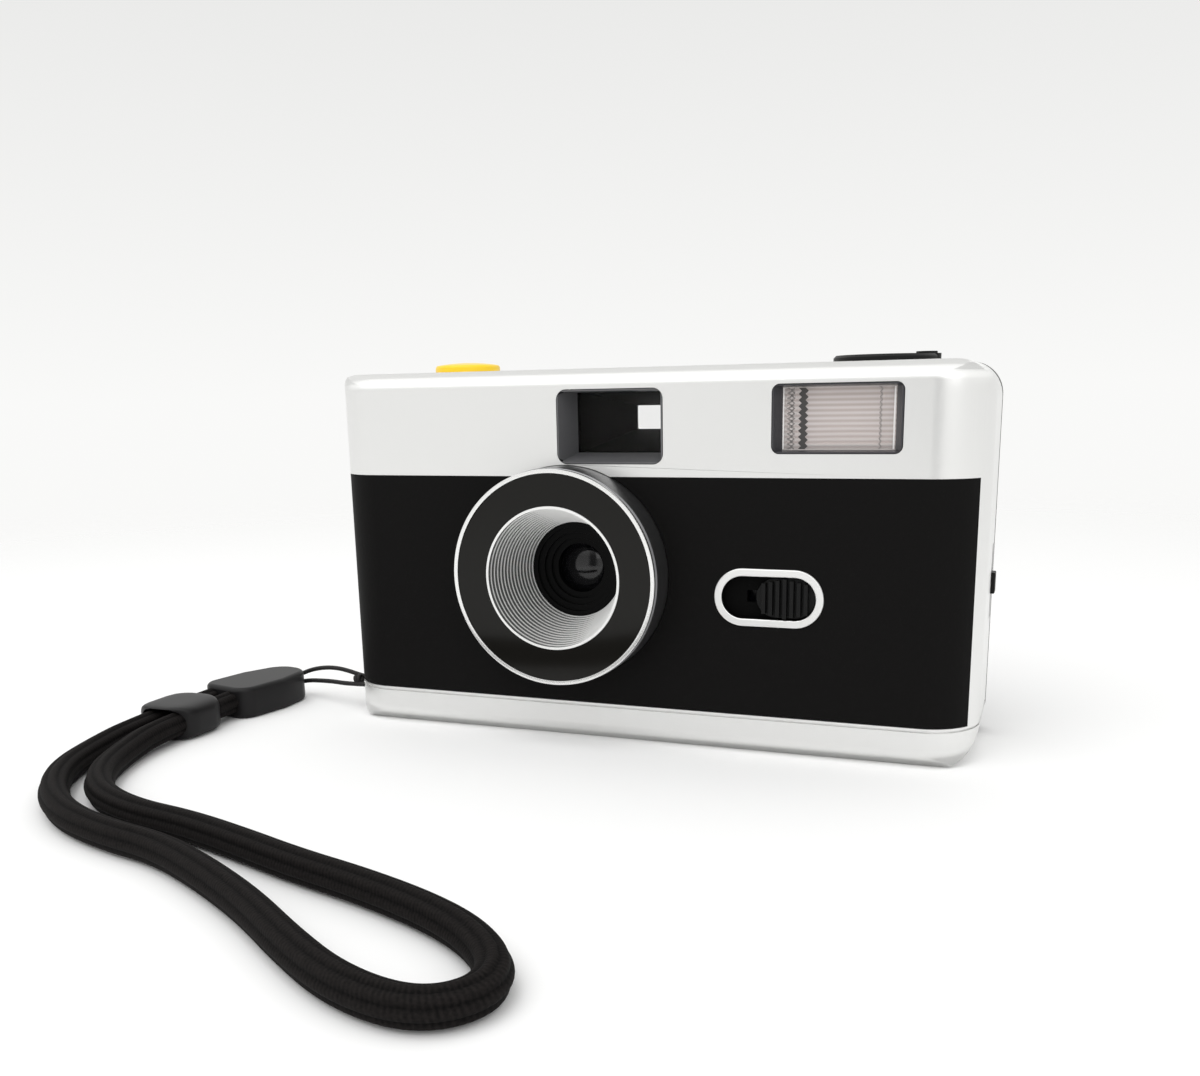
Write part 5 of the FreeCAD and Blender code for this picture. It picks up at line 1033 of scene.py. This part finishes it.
# %% Counter numbers
NUMBERS_PLACE = (-21.2, -5.6, 61.82)
NUMBERS_R, NUMBER_H = 4.6, 1.9
DEGREES_EACH = 9
number_black = plain("number_black", (0.02, 0.02, 0.02), 0.6)
numbers_bm = bmesh.new()
for position in range(0, 40, 4):
    curve = bpy.data.curves.new("count_text", "FONT")
    curve.body = str(position)
    curve.size = NUMBER_H * MM
    curve.align_x = curve.align_y = "CENTER"
    text_mesh = mesh_of(curve)
    turned_by = Matrix.Rotation(math.radians(-position * DEGREES_EACH), 4, "Z")
    place = Matrix.Translation(mm(*NUMBERS_PLACE)) @ turned_by
    text_mesh.transform(place @ Matrix.Translation(mm(0, NUMBERS_R, 0)))
    numbers_bm.from_mesh(text_mesh)
counter_numbers = show("counter_numbers", numbers_bm, number_black, "counter_disc", 180)
print("counter numbers:", len(counter_numbers.data.polygons), "faces")

# %% [markdown]
# ## Finishes for the pieces inside
# The chassis, shutter, film parts and the flash circuit are seen only when the back is open or pieces
# are taken apart. Plain finishes are enough there, one for each kind of material.

# %% Finishes of the other CAD pieces
finishes = (
    (inner_black, "chassis", "aperture_plate", "shutter_housing", "shutter_cover", "shutter_blade",
     "release_lever", "hammer_lever", "sprocket", "take_up_spool", "wind_pawl", "rewind_collar",
     "rewind_shaft"),
    (tunnel_black, "viewfinder_tunnel"),
    (finder_grey, "viewfinder_bezel"),
    (flash_frame_black, "flash_bezel"),
    (lens_glass, "rear_lens"),
    (clear_plastic, "viewfinder_lens", "eyepiece_lens", "counter_window", "door_window"),
    (reflector_bright, "flash_reflector"),
    (tube_glass, "flash_tube"),
    (plain("board_green", (0.03, 0.14, 0.05), 0.45), "flash_board"),
    (plain("can_sleeve", (0.012, 0.012, 0.03), 0.3), "flash_capacitor"),
    (plain("steel", (0.55, 0.55, 0.54), 0.3, 1.0), "battery_contacts", "strap_lug", "case_screws",
     "lens_screws", "door_hinge_pin", "pressure_plate"),
    (plain("spring_steel", (0.5, 0.5, 0.47), 0.35, 1.0), "button_spring", "pressure_spring"),
    (plain("lamp_orange", (0.85, 0.2, 0.03), 0.2, Transmission_Weight=0.4), "ready_lamp"),
    (plain("seal_foam", (0.012, 0.012, 0.012), 0.95, gloss=0.1), "light_seal"),
    (plain("disc_white", (0.82, 0.82, 0.79), 0.5), "counter_disc"))
for material, *names in finishes:
    for name in names:
        frame["nodes"][name].data.materials.clear()
        frame["nodes"][name].data.materials.append(material)
print("plain finishes on", sum(len(row) - 1 for row in finishes), "pieces")

# %% [markdown]
# ## Studio
# The camera stands on a white table with no visible horizon. The floor fades out with distance and lets
# the pale world through, so both run into each other. The world is bright only to the camera, to
# reflections and to glass; its share of the lighting is lower. Reflections find it darker on one side,
# which draws a grey streak along the round corner of the cover. High up it is brighter, as under a
# studio's white ceiling, and this whitens the round top edge. Two large soft lamps, both above and in
# front, give the gentle shadow.


# %% World and floor
DARK_TURN = math.radians(6)
DARK_SIDE = (math.sin(DARK_TURN), -math.cos(DARK_TURN), 0.0)


def pale_world():
    world = bpy.data.worlds.new("studio")
    scene.world = world
    finish = Finish("studio", world)
    direction = finish.node("ShaderNodeTexCoord", output="Generated")
    height = finish.part(direction, 2)
    sky = finish.ranged(height, 0.0, 0.3, 0.95, 0.82)
    ceiling = finish.ranged(height, 0.29, 0.5, 0.0, 0.4)
    level = finish.vectors("NORMALIZE", finish.vectors("MULTIPLY", direction, (1.0, 1.0, 0.0)))
    toward = finish.vectors("DOT_PRODUCT", level, DARK_SIDE, output="Value")
    shade = finish.ranged(toward, 0.975, 0.998, 1.0, 0.2, "SMOOTHSTEP")
    to_camera, glossy, through = [finish.node("ShaderNodeLightPath", output=kind)
                                  for kind in ("Is Camera Ray", "Is Glossy Ray", "Is Transmission Ray")]
    sky = sky * finish.maths("MAXIMUM", shade, to_camera) + ceiling
    seen = finish.maths("MINIMUM", to_camera + glossy + through, 1.0)
    shown = {"Color": (1.0, 1.0, 0.99, 1.0), "Strength": seen * sky + (1.0 - seen) * 0.86}
    finish.node("ShaderNodeOutputWorld", {}, {"Surface": finish.node("ShaderNodeBackground", {}, shown)})


def fading_floor():
    finish = Finish("fading_floor")
    distance = finish.vectors("LENGTH", finish.object_place(), output="Value")
    fade = finish.ranged(distance, 0.15, 0.55, 0.0, 1.0, "SMOOTHSTEP")
    matt = finish.node("ShaderNodeBsdfDiffuse", {}, {"Color": (0.94, 0.94, 0.94, 1.0)})
    return finish.end(finish.between(fade, matt, finish.transparent()))


pale_world()
floor_bm = bmesh.new()
bmesh.ops.create_circle(floor_bm, cap_ends=True, radius=0.9, segments=64)
floor_mesh = bpy.data.meshes.new("floor")
floor_bm.to_mesh(floor_mesh)
floor_bm.free()
floor_mesh.materials.append(fading_floor())
floor = new_object("floor", floor_mesh)
print("floor and world ready")


# %% Lamps
def soft_lamp(name, place, target, size, power):
    """A square soft lamp that points at a target."""
    light = bpy.data.lights.new(name, "AREA")
    light.size = size
    light.energy = power
    lamp = new_object(name, light)
    lamp.location = place
    lamp.rotation_euler = (Vector(target) - Vector(place)).to_track_quat("-Z", "Y").to_euler()
    return lamp


key = soft_lamp("key_lamp", (-0.15, -0.35, 0.75), (-0.02, -0.03, 0.02), 0.7, 2.4)
fill = soft_lamp("fill_lamp", (0.35, -0.6, 0.45), (0.0, 0.0, 0.03), 0.5, 0.8)
print("lamps:", key.name, fill.name)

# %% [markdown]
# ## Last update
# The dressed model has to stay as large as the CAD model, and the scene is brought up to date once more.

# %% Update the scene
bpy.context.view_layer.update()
